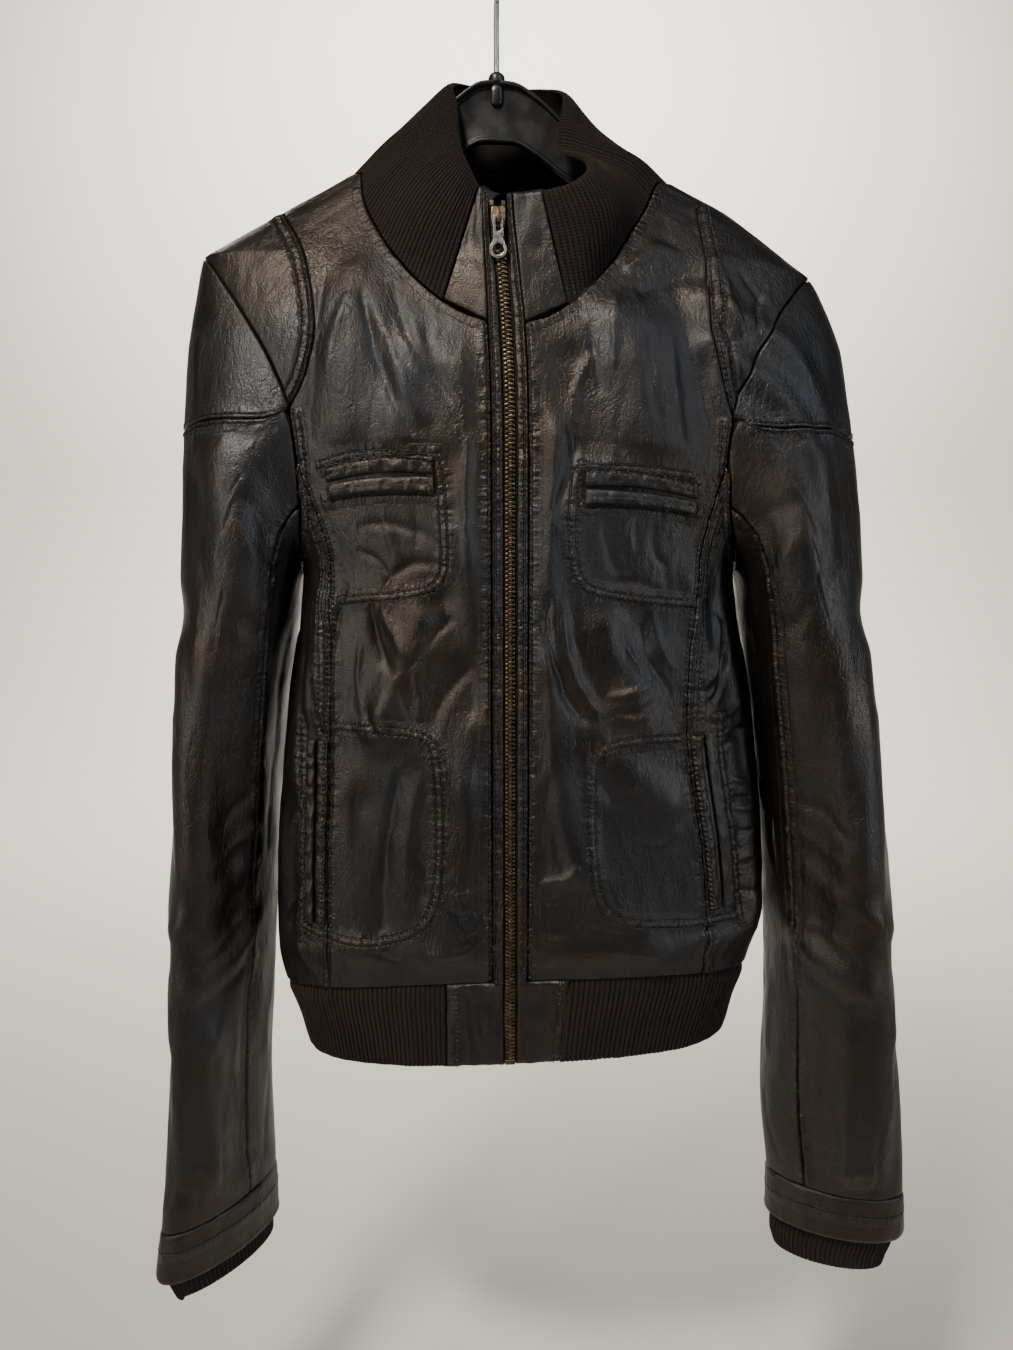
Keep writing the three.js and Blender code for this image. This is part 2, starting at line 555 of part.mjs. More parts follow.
// Points round a sleeve, from its outer line by the front, equally spaced along its girth
function sleeveRing(s, z, grow, steps) {
  const shape = sleeveShape[s];
  const long = shape.long(z) + grow;
  const broad = shape.broad(z) + grow;
  const turn = shape.turn(z) * Math.PI / 180;
  const all = [];
  const fine = 144;
  for (let i = 0; i < fine; i++) {
    const t = 2 * Math.PI * i / fine;
    const x = s * broad * Math.cos(t);
    const y = -long * Math.sin(t);
    all.push([s * Math.cos(turn) * (s * x) + Math.sin(turn) * y, -s * Math.sin(turn) * (s * x) + Math.cos(turn) * y]);
  }
  let first = 0;
  all.forEach((p, i) => {
    if (s * p[0] > s * all[first][0]) first = i;
  });
  const ring = all.map((_, i) => all[(first + i) % fine]);
  ring.push(ring[0]);
  const sums = [0];
  for (let i = 1; i <= fine; i++) {
    sums.push(sums[i - 1] + Math.hypot(ring[i][0] - ring[i - 1][0], ring[i][1] - ring[i - 1][1]));
  }
  return steps.map((k) => {
    const want = (((k / ARM_POINTS) % 1) + 1) % 1 * sums[fine];
    let i = 1;
    while (sums[i] < want) i++;
    const t = (want - sums[i - 1]) / (sums[i] - sums[i - 1]);
    const x = mix(ring[i - 1][0], ring[i][0], t);
    const y = mix(ring[i - 1][1], ring[i][1], t);
    const aside = shape.shift * clamp((shape.endZ + 4 - z) / 20, 0, 1);
    return V(shape.x(z) + x + aside, sleeveY(z) + y, z + shape.slope * s * -x * clamp((-z - 600) / 200, 0, 1) + LEVEL);
  });
}

const armLoop = (s, k) => {
  const angle = 2 * Math.PI * k / ARM_POINTS;
  const z = (TIP_Z + UNDERARM_Z) / 2 + (TIP_Z - UNDERARM_Z) / 2 * Math.cos(angle);
  const front = ((k % ARM_POINTS) + ARM_POINTS) % ARM_POINTS <= ARM_POINTS / 2;
  return [s * (front ? armFront(z) : armBack(z)), z];
};

const SLEEVE_FOLDS = [
  // Step round the sleeve, height, step, height, half width, height out
  [1, -220, 2, -380, 16, 3], [4, -310, 7, -400, 12, 3], [3, -330, 5, -420, 12, -2.5], [-2, -240, -4, -380, 16, 3],
  [2.5, -430, 3.5, -560, 16, 4], [5, -450, 5.5, -600, 16, -3.5], [7, -430, 8, -560, 14, 3], [0, -450, 0.5, -590, 14, 2.5],
  [2, -600, 6, -570, 10, 3], [3, -640, 8, -610, 10, 3], [4, -680, 4.5, -790, 13, 3.5], [7, -660, 6.5, -780, 13, -3],
  [1, -690, 1.5, -780, 12, -2.5], [-3, -430, -4, -600, 16, 3.5], [-6, -420, -6, -580, 15, -3], [-4, -640, -5, -780, 13, 3],
  [-2, -610, -7, -590, 10, 3], [-8, -470, -8, -640, 14, 2.5],
];
function sleeveFold(k, z) {
  const q = ((k + ARM_POINTS / 2) % ARM_POINTS + ARM_POINTS) % ARM_POINTS - ARM_POINTS / 2;
  let h = 0;
  for (const [q0, z0, q1, z1, w, top] of SLEEVE_FOLDS) {
    const near = [0, -ARM_POINTS, ARM_POINTS].map((turn) => {
      const dq = (q1 - q0) * 16;
      const dz = z1 - z0;
      const x = (q + turn - q0) * 16;
      const t = clamp((x * dq + (z - z0) * dz) / (dq * dq + dz * dz), 0, 1);
      return Math.hypot(x - t * dq, z - z0 - t * dz);
    });
    h += top * Math.exp(-((Math.min(...near) / w) ** 2));
  }
  const inside = clamp((Math.abs(Math.abs(q) - ARM_POINTS / 2) - 1) / 3, 0, 1);
  return h * inside * clamp((-z - 200) / 40, 0, 1) * clamp((z + 795) / 20, 0, 1);
}

// A point of the sleeve between the armhole, t = 0, and the level of the underarm, t = 1, then by height
const BICEP = -400;
function sleevePoint(s, k, t) {
  if (t <= 1) {
    const [a, z] = armLoop(s, k);
    const from = body(a, z, 0.3);
    const to = sleeveRing(s, BICEP, 0, [k])[0];
    from.x += s * 0.8;
    const ctrl = V(mix(to.x, from.x, 0.25), mix(to.y, from.y, 0.35), from.z - 0.15 * (from.z - to.z));
    const w = 1 - t;
    return from.multiplyScalar(w * w).addScaledVector(ctrl, 2 * w * t).addScaledVector(to, t * t);
  }
  return sleeveRing(s, BICEP - (t - 1) * 100, 0, [k])[0];
}
function sleeveWall(s, k, t, out) {
  const e = 0.15;
  const f = 0.02;
  const t0 = Math.max(0, t - f);
  const t1 = t + f;
  const du = sleevePoint(s, k + e, t).sub(sleevePoint(s, k - e, t));
  const dv = sleevePoint(s, k, t1).sub(sleevePoint(s, k, t0));
  const n = du.cross(dv).normalize().multiplyScalar(s);
  const p = sleevePoint(s, k, t);
  if (t < 0.01 && out < 0) p.x += s * 1.1 * clamp(Math.cos(2 * Math.PI * k / ARM_POINTS) + 0.4, 0, 1);
  return p.addScaledVector(n, sleeveFold(k, p.z - LEVEL) * clamp(t * 2.5, 0, 1) + out);
}

for (const s of SIDES) {
  const shape = sleeveShape[s];
  const down = (z) => 1 + (BICEP - z) / 100;
  const seamT = (k) => 0.03 + 0.63 * Math.max(0, 1 - (k / 5) ** 2) ** 0.5;
  const gapT = (k) => 0.2 / Math.max(60, sleevePoint(s, k, seamT(k) + 0.01).distanceTo(sleevePoint(s, k, seamT(k))) * 100);
  const grid = (ks, ts, inset) => ts.map((tOf, r) => ks.map((k0, c) => {
    const k = k0 + (c === 0 ? inset : c === ks.length - 1 ? -inset : 0);
    return [k, tOf(k0), r];
  }));
  const build = (name, points) => {
    addWall(name, 'leather', points.map((row) => row.map(([k, t]) => sleeveWall(s, k, t, 0))),
      points.map((row) => row.map(([k, t]) => sleeveWall(s, k, t, -LEATHER))));
  };
  const upperSteps = [-7, -6, -5, -4, -3, -2, -1, 0, 1, 2, 3, 4, 5, 6, 7];

  // Cap, from the shoulder to the seam across the upper arm
  build(`sleeve_cap_${label(s)}`, grid(upperSteps.slice(2, 13),
    [0, 0.25, 0.6, 1].map((v) => (k) => mix(0, seamT(k) - gapT(k), v)), 0.012));

  // Upper sleeve and under sleeve, down to the seam of the turned hem
  const lowZ = [-425, -455, -490, -525, -560, -595, -630, -665, -700, -735, -770];
  const lower = [...lowZ.map((z) => () => down(z)), () => down(shape.hemZ) - 0.0015];
  const upperTop = (k) => (Math.abs(k) <= 5 ? seamT(k) + gapT(k) : 0);
  build(`sleeve_upper_${label(s)}`, grid(upperSteps,
    [...[0, 0.35, 0.7, 1].map((v) => (k) => mix(upperTop(k), 1, v)), ...lower], 0.018));
  build(`sleeve_under_${label(s)}`, grid([7, 8, 9, 10, 11, 12, 13],
    [...[0, 0.35, 0.7, 1].map((v) => () => v), ...lower], 0.018));

  // Turned hem of the sleeve
  const steps = Array.from({ length: 24 }, (_, i) => i * ARM_POINTS / 24);
  const ring = (z, grow) => sleeveRing(s, z, grow, steps);
  const hemRows = [[shape.hemZ - SEAM, 0.4], [shape.hemZ - 14, 1], [shape.endZ, 1.2]];
  addWall(`sleeve_hem_${label(s)}`, 'leather', hemRows.map(([z, g]) => ring(z, g)),
    hemRows.map(([z, g]) => ring(z, g - LEATHER - 0.8)), true);

  // Knitted cuff, sewn inside the hem
  const ribs = 38;
  const outerSteps = Array.from({ length: ribs * 2 }, (_, i) => i * ARM_POINTS / (ribs * 2));
  const innerSteps = outerSteps.filter((_, i) => i % 4 === 0);
  const cuffRows = [[shape.hemZ + 4, -4.6, 0.2, 1.6], [shape.endZ, -4.8, 0.5, 3],
    [shape.cuffZ + 3, -7.4 - shape.draw, 0.5, 3], [shape.cuffZ, -8.4 - shape.draw, 0.4, 1.6]];
  const outer = cuffRows.map(([z, g, rib]) => outerSteps.map((k, i) => sleeveRing(s, z, g + (i % 2 ? rib : -rib), [k])[0]));
  const inner = cuffRows.map(([z, g, , thick]) => sleeveRing(s, z, g - thick, innerSteps));
  addRibbed(`cuff_rib_${label(s)}`, 'knit', outer, inner, 4, true);
}

// Collar: a knitted funnel from the neck seam, with leather facings beside the zip
function loopOf(points) {
  const sums = [0];
  for (let i = 1; i < points.length; i++) sums.push(sums[i - 1] + points[i].distanceTo(points[i - 1]));
  return (u) => {
    const want = clamp(u, 0, 1) * sums[sums.length - 1];
    let i = 1;
    while (i < sums.length - 1 && sums[i] < want) i++;
    return points[i - 1].clone().lerp(points[i], (want - sums[i - 1]) / (sums[i] - sums[i - 1]));
  };
}
const neckEdge = (s) => {
  const front = NECK_ROWS.slice().reverse().filter((z) => z >= -220).map((z) => body(s * stepAtX(neckX(z), z), z));
  const back = [1, 1.125, 1.25, 1.375, 1.5, 1.625, 1.75, 1.875, 2].map((u) => {
    const z = -135 - 2 * Math.sin((u - 1) * Math.PI / 2);
    return body(s * u, z);
  });
  return [...front, ...back];
};
const smooth = (points) => new THREE.CatmullRomCurve3(points, false, 'centripetal').getPoints(60);
const lift = (x, y, z) => V(x, y, z + LEVEL);
const topRight = smooth([lift(-10.4, -47, -152.5), lift(-15.5, -41, -140), lift(-20.5, -33, -127), lift(-23, -20, -110),
  lift(-24.5, -8.5, -91), lift(-28.5, -1, -78), lift(-27, 10, -72), lift(-17, 25, -68), lift(2, 37, -67)]);
const topLeft = smooth([lift(27, -53, -157.5), lift(44, -54, -153), lift(54, -47, -143), lift(52.5, -38, -133),
  lift(43.5, -29, -127), lift(38.5, -19, -122), lift(38.5, -12, -107), lift(42, -3, -91), lift(43, 9, -78), lift(31, 25, -70),
  lift(2, 37, -67)]);
const baseOf = { '-1': loopOf(neckEdge(-1)), 1: loopOf(neckEdge(1)) };
const topOf = { '-1': loopOf(topRight), 1: loopOf(topLeft) };

// Round the collar from -1, its right front edge, by 0, the middle of the back, to 1, its left front edge
function collarPoint(u, v) {
  const s = u < 0 ? -1 : 1;
  const w = 1 - Math.abs(u);
  const base = baseOf[s](w);
  const top = topOf[s](w);
  const rise = top.clone().sub(base);
  const p = base.addScaledVector(rise.clone().normalize(), 0.85 * (1 - v)).addScaledVector(rise, v);
  const middleOf = V(8, -8, p.z);
  const away = p.clone().sub(middleOf).normalize();
  const side = Math.sin(Math.PI * w) ** 0.7;
  return p.addScaledVector(away, (s > 0 ? 12 : 8.5) * side * Math.sin(Math.PI * v ** 1.15));
}
function collarWall(u, v, out) {
  const e = 0.006;
  const u0 = Math.max(-1, u - e);
  const u1 = Math.min(1, u + e);
  const v0 = Math.max(0, v - 0.03);
  const v1 = Math.min(1, v + 0.03);
  const du = collarPoint(u1, v).sub(collarPoint(u0, v));
  const dv = collarPoint(u, v1).sub(collarPoint(u, v0));
  const n = dv.cross(du).normalize();
  return collarPoint(u, v).addScaledVector(n, out);
}
{
  const ribs = 112;
  const outer = [];
  const inner = [];
  for (const [v, rib, out, thick] of [[1, 0.35, -0.8, 2], [0.92, 0.45, 0, KNIT], [0.5, 0.5, 0, KNIT],
    [0, 0.4, 0, 3]]) {
    const lineOut = [];
    const lineIn = [];
    for (let c = 0; c <= ribs * 2; c++) {
      const u = mix(-1, 1, c / (ribs * 2));
      lineOut.push(collarWall(u, v, out + (c % 2 ? rib : -rib)));
      if (c % 4 === 0) lineIn.push(collarWall(u, v, out - thick));
    }
    outer.push(lineOut);
    inner.push(lineIn);
  }
  addRibbed('collar_rib', 'knit', outer, inner, 4);
}
for (const s of SIDES) {
  const outer = [];
  const inner = [];
  for (const v of [0.002, 0.33, 0.66, 1]) {
    const z = mix(NECK_Z + 1, -158, v);
    const a = zipPoint(z, s * (placketOut(z) + SEAM), 0.6);
    const edge = collarWall(s, v, 0);
    const edgeIn = collarWall(s, v, -LEATHER);
    const step = edge.clone().sub(collarWall(s * 0.98, v, 0)).normalize().multiplyScalar(0.4);
    edge.add(step);
    edgeIn.add(step);
    const aIn = a.clone().add(V(0, LEATHER, 0));
    outer.push([0, 0.5, 1].map((t) => a.clone().lerp(edge, t)));
    inner.push([0, 0.5, 1].map((t) => aIn.clone().lerp(edgeIn, t)));
  }
  addWall(`collar_facing_${label(s)}`, 'leather', outer, inner);
}

// Strip inside the back of the neck
{
  const outer = [];
  const inner = [];
  for (const z of [-121, -127.5]) {
    outer.push([-22, -8, 9, 26, 40].map((x, i) => lift(x, 30.4 - [3.4, 0.8, 0, 0.8, 3.4][i], z - x * 0.03)));
    inner.push([-22, -8, 9, 26, 40].map((x, i) => lift(x, 32.2 - [3.4, 0.8, 0, 0.8, 3.4][i], z - x * 0.03)));
  }
  addWall('neck_strip', 'leather', outer, inner);
}

// Chest pockets: two welts with a slit between them
const patch = (name, s, x0, x1, z0, z1, cols, low, high) => {
  const rowsOut = [];
  const rowsIn = [];
  for (const v of [0, 0.5, 1]) {
    const lineOut = [];
    const lineIn = [];
    for (let c = 0; c <= cols; c++) {
      const x = mix(x0(v), x1(v), c / cols);
      const z = mix(z0(c / cols), z1(c / cols), v);
      const a = s * stepAtX(x, z);
      lineOut.push(body(a, z, v === 0.5 ? high : high - 0.5));
      lineIn.push(body(a, z, low));
    }
    rowsOut.push(lineOut);
    rowsIn.push(lineIn);
  }
  addWall(name, 'leather', rowsOut, rowsIn);
};
const chest = {
  '-1': { in: 45, out: 110, zIn: -321.8, zOut: -326.2 },
  1: { in: 43, out: 108, zIn: -327.8, zOut: -334 },
};
for (const s of SIDES) {
  const { in: x0, out: x1, zIn, zOut } = chest[s];
  const line = (t) => mix(zIn, zOut, t);
  patch(`chest_welt_upper_${label(s)}`, s, () => x0, () => x1, (t) => line(t) + 11 * (1 - 0.25 * t), (t) => line(t) + 0.6,
    5, 1.1, 3.1);
  patch(`chest_welt_lower_${label(s)}`, s, () => x0, () => x1, (t) => line(t) - 0.6, (t) => line(t) - 9.5 * (1 - 0.1 * t),
    5, 1.1, 3.1);
}

// Side pockets: two upright welts beside each princess seam
const sideSlit = { '-1': [8, 1.2], 1: [9, 3.4] };
for (const s of SIDES) {
  const [mid, gap] = sideSlit[s];
  const base = (z) => princessX[s](z) + mid;
  const zs = [-478, -505, -532, -558, -577, -594];
  for (const [word, d0, d1] of [['inner', -7.2, -gap / 2], ['outer', gap / 2, gap / 2 + 6.4]]) {
    const row = (d, out) => zs.map((z) => body(s * stepAtX(base(z) + d, z), z, out));
    const cols = [d0, (d0 + d1) / 2, d1];
    const outer = cols.map((d, i) => row(d, i === 1 ? 3.3 : 2.8));
    const inner = cols.map((d) => row(d, 1.1));
    addWall(`side_welt_${word}_${label(s)}`, 'leather', outer, inner);
  }
}

// Hanger: one moulding with a web and rims, a boss, and a wire hook
{
  const top = curve([0, -75.5], [10, -76.5], [24, -84.5], [40, -98], [60, -115], [93, -136.5], [130, -159], [160, -177],
    [176, -187]);
  const deep = curve([0, 36], [30, 34], [60, 27], [93, 21], [130, 17], [160, 14], [176, 10]);
  const stations = [-176, -160, -130, -93, -60, -40, -24, -10, 0, 10, 24, 40, 60, 93, 130, 160, 176];
  const outline2 = (h) => [[-4.5, 0], [4.5, 0], [4.5, -2.6], [1.5, -3.4], [1.5, -h + 3.2], [3.2, -h + 2.4], [3.2, -h],
    [-3.2, -h], [-3.2, -h + 2.4], [-1.5, -h + 3.2], [-1.5, -3.4], [-4.5, -2.6]];
  const rows = stations.map((x) => {
    const u = Math.abs(x);
    const shift = 6.5 * Math.min(1, u / 93);
    const drop = 2.2 * clamp((u - 24) / 40, 0, 1);
    return outline2(deep(u)).map(([y, z]) => lift(x + shift, y + 3, top(u) + z - drop - 0.036 * x));
  });
  const points = rows.flat();
  const n = 12;
  const tris = [];
  for (let r = 0; r < rows.length - 1; r++) {
    for (let c = 0; c < n; c++) {
      const a = r * n + c;
      const b = r * n + (c + 1) % n;
      tris.push([a, b, b + n], [a, b + n, a + n]);
    }
  }
  const cap = (at, flip) => {
    const faces = THREE.ShapeUtils.triangulateShape(outline2(10).map(([y, z]) => new THREE.Vector2(y, z)), []);
    faces.forEach(([a, b, c]) => tris.push(flip ? [at + a, at + c, at + b] : [at + a, at + b, at + c]));
  };
  cap(0, false);
  cap((rows.length - 1) * n, true);
  addSolid('hanger', 'plastic', points, tris);
}
{
  const ring = (r, z) => Array.from({ length: 16 }, (_, i) => {
    const t = 2 * Math.PI * i / 16;
    return lift(r * Math.cos(t), 3 + r * Math.sin(t), z);
  });
  const steps = [[3.2, -70.6], [4.3, -71.4], [5.2, -73.4], [5.2, -75.1]];
  addWall('hanger_boss', 'plastic', steps.map(([r, z]) => ring(r, z)), steps.map(([, z]) => ring(2.1, z)), true);
}
{
  const r = HOOK_IN + WIRE;
  const path = new THREE.CatmullRomCurve3([V(0, 3, -75 + LEVEL), V(0, 3, -64 + LEVEL), V(0, 1.4, -62), V(0.8, 0, -51),
    V(5.5, 0, -43.5), V(13.5, 0, -35.5), V(19, 0, -27.5), V(r, 0, -19), V(r * 0.866, 0, -19 + r / 2),
    V(r / 2, 0, -19 + r * 0.866), V(0, 0, -19 + r), V(-r / 2, 0, -19 + r * 0.866), V(-r * 0.866, 0, -19 + r / 2),
    V(-r, 0, -19), V(-r * 0.93, 0, -27), V(-r * 0.86, 0, -30)], false, 'centripetal');
  const wire = new THREE.TubeGeometry(path, 32, WIRE, 8, false);
  const p = wire.attributes.position;
  const index = Array.from(wire.index.array);
  const points = [];
  for (let i = 0; i <= 32; i++) for (let j = 0; j < 8; j++) points.push(V(...[0, 1, 2].map((k) => p.array[(i * 9 + j) * 3 + k])));
  const to = (i) => Math.floor(i / 9) * 8 + (i % 9) % 8;
  const tris = [];
  for (let i = 0; i < index.length; i += 3) tris.push([to(index[i]), to(index[i + 1]), to(index[i + 2])]);
  const start = points.push(path.getPoint(0)) - 1;
  const end = points.push(path.getPoint(1)) - 1;
  for (let j = 0; j < 8; j++) {
    tris.push([start, j, (j + 1) % 8]);
    tris.push([end, 32 * 8 + (j + 1) % 8, 32 * 8 + j]);
  }
  addSolid('hanger_hook', 'steel', points, tris);
}

export default group;
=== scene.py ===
"""A worn leather jacket, zipped up and hung on a plastic hanger.

Lengths are in millimetres until a mesh is made. A level is a height on the jacket's own map, LEVEL above the
frame's. A step goes round the body: 0 at the middle of the front, 1 at the left side, 2 at the middle of the back.
"""

import json
import math

import bpy
import mathutils
import numpy as np
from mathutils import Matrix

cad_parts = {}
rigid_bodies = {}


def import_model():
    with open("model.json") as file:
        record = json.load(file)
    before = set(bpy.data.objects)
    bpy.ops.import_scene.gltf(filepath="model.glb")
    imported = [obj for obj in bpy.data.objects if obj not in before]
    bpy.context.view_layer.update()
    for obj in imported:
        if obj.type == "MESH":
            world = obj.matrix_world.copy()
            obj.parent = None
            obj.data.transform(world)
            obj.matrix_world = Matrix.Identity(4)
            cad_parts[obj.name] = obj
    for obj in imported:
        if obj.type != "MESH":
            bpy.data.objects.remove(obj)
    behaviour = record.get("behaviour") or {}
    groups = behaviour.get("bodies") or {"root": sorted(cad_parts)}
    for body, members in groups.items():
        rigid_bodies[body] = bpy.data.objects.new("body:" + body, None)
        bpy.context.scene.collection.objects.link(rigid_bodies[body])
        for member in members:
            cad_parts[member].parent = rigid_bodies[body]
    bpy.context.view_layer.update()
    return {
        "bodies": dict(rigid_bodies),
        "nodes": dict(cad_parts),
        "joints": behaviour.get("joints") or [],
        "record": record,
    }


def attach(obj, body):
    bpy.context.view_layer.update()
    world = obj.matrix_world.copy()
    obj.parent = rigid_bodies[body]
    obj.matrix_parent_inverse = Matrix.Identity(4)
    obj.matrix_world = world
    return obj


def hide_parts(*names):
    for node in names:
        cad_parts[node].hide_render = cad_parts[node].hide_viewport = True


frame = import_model()

MM = 0.001
LEVEL = -24.0
SEAM = 0.3
LEATHER = 1.4
HIP_Z = -633.0
HEM_Z = -690.0
TIP_Z = -190.0
UNDERARM_Z = -378.0
NECK_Z = -233.0
ARM_POINTS = 20
PLACKET_IN = 4.0
PLACKET_OUT = 10.5
PANEL_IN = 10.8
BICEP = -400.0
SLIDER_Z = -173.0
WIRE = 1.75
HOOK_IN = 19.0
RIB_PITCH = 3.35
STITCH = 3.3
TOOTH_PITCH = 1.3
SIDES = {-1: "right", 1: "left"}


# Small helpers
def mix(a, b, t):
    return a + (b - a) * t


def clamp(x, low=0.0, high=1.0):
    return np.clip(x, low, high)


def bump(x, width):
    return np.exp(-((x / width) ** 2))


def soft(t):
    t = clamp(t)
    return t * t * (3 - 2 * t)


def unit(v):
    return v / np.maximum(np.linalg.norm(v, axis=-1, keepdims=True), 1e-9)


def stack(x, y, z):
    return np.stack(np.broadcast_arrays(x, y, z), -1).astype(float)


class Curve:
    """A smooth curve through pairs of position and value, flat beyond its ends."""

    def __init__(self, *pairs):
        self.x, self.y = np.array(sorted(pairs), float).T
        d = np.diff(self.y) / np.diff(self.x)
        a, b = d[:-1], d[1:]
        same = a * b > 0
        inner = np.where(same, 2 * a * b / np.where(same, a + b, 1), 0)
        self.m = np.concatenate([d[:1], inner, d[-1:]])

    def __call__(self, x):
        x = np.clip(np.asarray(x, float), self.x[0], self.x[-1])
        i = np.clip(np.searchsorted(self.x, x, side="right") - 1, 0, len(self.x) - 2)
        h = self.x[i + 1] - self.x[i]
        t = (x - self.x[i]) / h
        return (
            (1 + 2 * t) * (1 - t) ** 2 * self.y[i]
            + t * (1 - t) ** 2 * h * self.m[i]
            + t * t * (3 - 2 * t) * self.y[i + 1]
            + t * t * (t - 1) * h * self.m[i + 1]
        )


class Noise:
    """Smooth noise from -1 to 1 over a plane."""

    def __init__(self, seed, size=96):
        self.size = size
        self.grid = np.random.default_rng(seed).uniform(-1, 1, (size, size))

    def __call__(self, x, y):
        x, y = np.broadcast_arrays(np.asarray(x, float), np.asarray(y, float))
        i, j = np.floor(x).astype(int), np.floor(y).astype(int)
        s, t = soft(x - i), soft(y - j)
        g, n = self.grid, self.size
        low = mix(g[i % n, j % n], g[(i + 1) % n, j % n], s)
        high = mix(g[i % n, (j + 1) % n], g[(i + 1) % n, (j + 1) % n], s)
        return mix(low, high, t)


broad, ripple, crumple = Noise(3), Noise(5), Noise(8)

# Body section by level, as in the part
body_width = Curve((-700, 139), (-670, 147), (-645, 156), (-607, 164), (-560, 162), (-510, 156.5), (-450, 149),
                   (-400, 141), (-378, 139), (-345, 152), (-310, 168), (-283, 176), (-240, 184), (-213, 188),
                   (TIP_Z, 189.5))
front_depth = Curve((-700, 60), (-640, 64), (-607, 69), (-500, 73), (-400, 73), (-300, 70), (-262, 66), (-233, 60),
                    (-220, 54.5), (-201, 45), (-172, 29), (-150, 18), (-131, 8))
back_depth = Curve((-700, 46), (-640, 50), (-607, 54), (-400, 56), (-300, 54), (-230, 50), (-190, 47), (-160, 43),
                   (-131, 38))
square = Curve((-700, 2.5), (-378, 2.6), (-283, 3), (-131, 2.4))
middle = Curve((-700, 8.6), (-305, 8.3), (-270, 7.8), (-231, 6), (-205, 4), (-172, 1.3), (-157, 0.6))
between = Curve((-700, 13), (-636, 12.5), (-607, 15), (-378, 14), (-283, 9), (-190, 6.5), (-131, 9))
lean = Curve((-700, -0.04), (-633, -0.04), (-400, -0.005), (-200, 0.035), (-131, 0.04))


def half_width(z):
    return np.where(z > TIP_Z, mix(189.5, 93, (z - TIP_Z) / (-131 - TIP_Z)), body_width(z))


def place(x, y, z):
    s = clamp((np.abs(x) - 14) / (half_width(z) - 14))
    swell = np.where(x > 0, 6.5 * bump(x - 138, 38) * clamp((z + 250) / 70), 0)
    return stack(x + mix(middle(z), between(z), s), y, z - lean(z) * x + swell + LEVEL)


# Quarters of the rounded section, stepped by their length, for every millimetre of level
LEVELS = np.arange(-706.0, -124.0)
FINE = 320


def quarter_table(depth):
    t = np.linspace(0, np.pi / 2, FINE + 1)
    n = square(LEVELS)[:, None]
    x = half_width(LEVELS)[:, None] * np.sin(t) ** (2 / n)
    y = depth(LEVELS)[:, None] * np.maximum(np.cos(t), 0) ** (2 / n)
    run = np.hypot(np.diff(x), np.diff(y)).cumsum(1)
    run = np.concatenate([np.zeros((len(LEVELS), 1)), run], 1)
    steps = np.linspace(0, 1, FINE + 1)
    xs = np.array([np.interp(steps * r[-1], r, v) for r, v in zip(run, x)])
    ys = np.array([np.interp(steps * r[-1], r, v) for r, v in zip(run, y)])
    return xs, ys, run[:, -1]


FRONT = quarter_table(front_depth)
BACK = quarter_table(back_depth)


def lookup(table, u, z):
    i = np.clip(z - LEVELS[0], 0, len(LEVELS) - 1.001)
    j = np.clip(u * FINE, 0, FINE - 0.001)
    i0, j0 = i.astype(int), j.astype(int)
    s, t = i - i0, j - j0
    low = mix(table[i0, j0], table[i0, j0 + 1], t)
    high = mix(table[i0 + 1, j0], table[i0 + 1, j0 + 1], t)
    return mix(low, high, s)


def quarter_length(z):
    return np.interp(z, LEVELS, FRONT[2])


def smooth_body(a, z):
    a, z = np.broadcast_arrays(np.asarray(a, float), np.asarray(z, float))
    a = (a + 2) % 4 - 2
    u = np.abs(a)
    front = u <= 1
    w = np.where(front, u, 2 - u)
    x = np.where(front, lookup(FRONT[0], w, z), lookup(BACK[0], w, z))
    y = np.where(front, -lookup(FRONT[1], w, z), lookup(BACK[1], w, z))
    return place(np.sign(a) * x, y, z)


def step_at_x(x, z, table=FRONT):
    """The step at a distance from the middle of the front, by halving."""
    x, z = np.broadcast_arrays(np.asarray(x, float), np.asarray(z, float))
    low, high = np.zeros(x.shape), np.ones(x.shape)
    for _ in range(22):
        half = (low + high) / 2
        less = lookup(table[0], half, z) < x
        low, high = np.where(less, half, low), np.where(less, high, half)
    return (low + high) / 2


def frame_of(surface, u, v, eu, ev):
    """Points of a surface, the ways along its two directions, and the way out of it."""
    p = surface(u, v)
    pu = (surface(u + eu, v) - surface(u - eu, v)) / (2 * eu)
    pv = (surface(u, v + ev) - surface(u, v - ev)) / (2 * ev)
    return p, pu, pv, unit(np.cross(pu, pv))


def body_frame(a, z):
    p, pa, pz, n = frame_of(smooth_body, np.asarray(a, float), np.asarray(z, float), 0.004, 1.2)
    return p, pa, pz, n


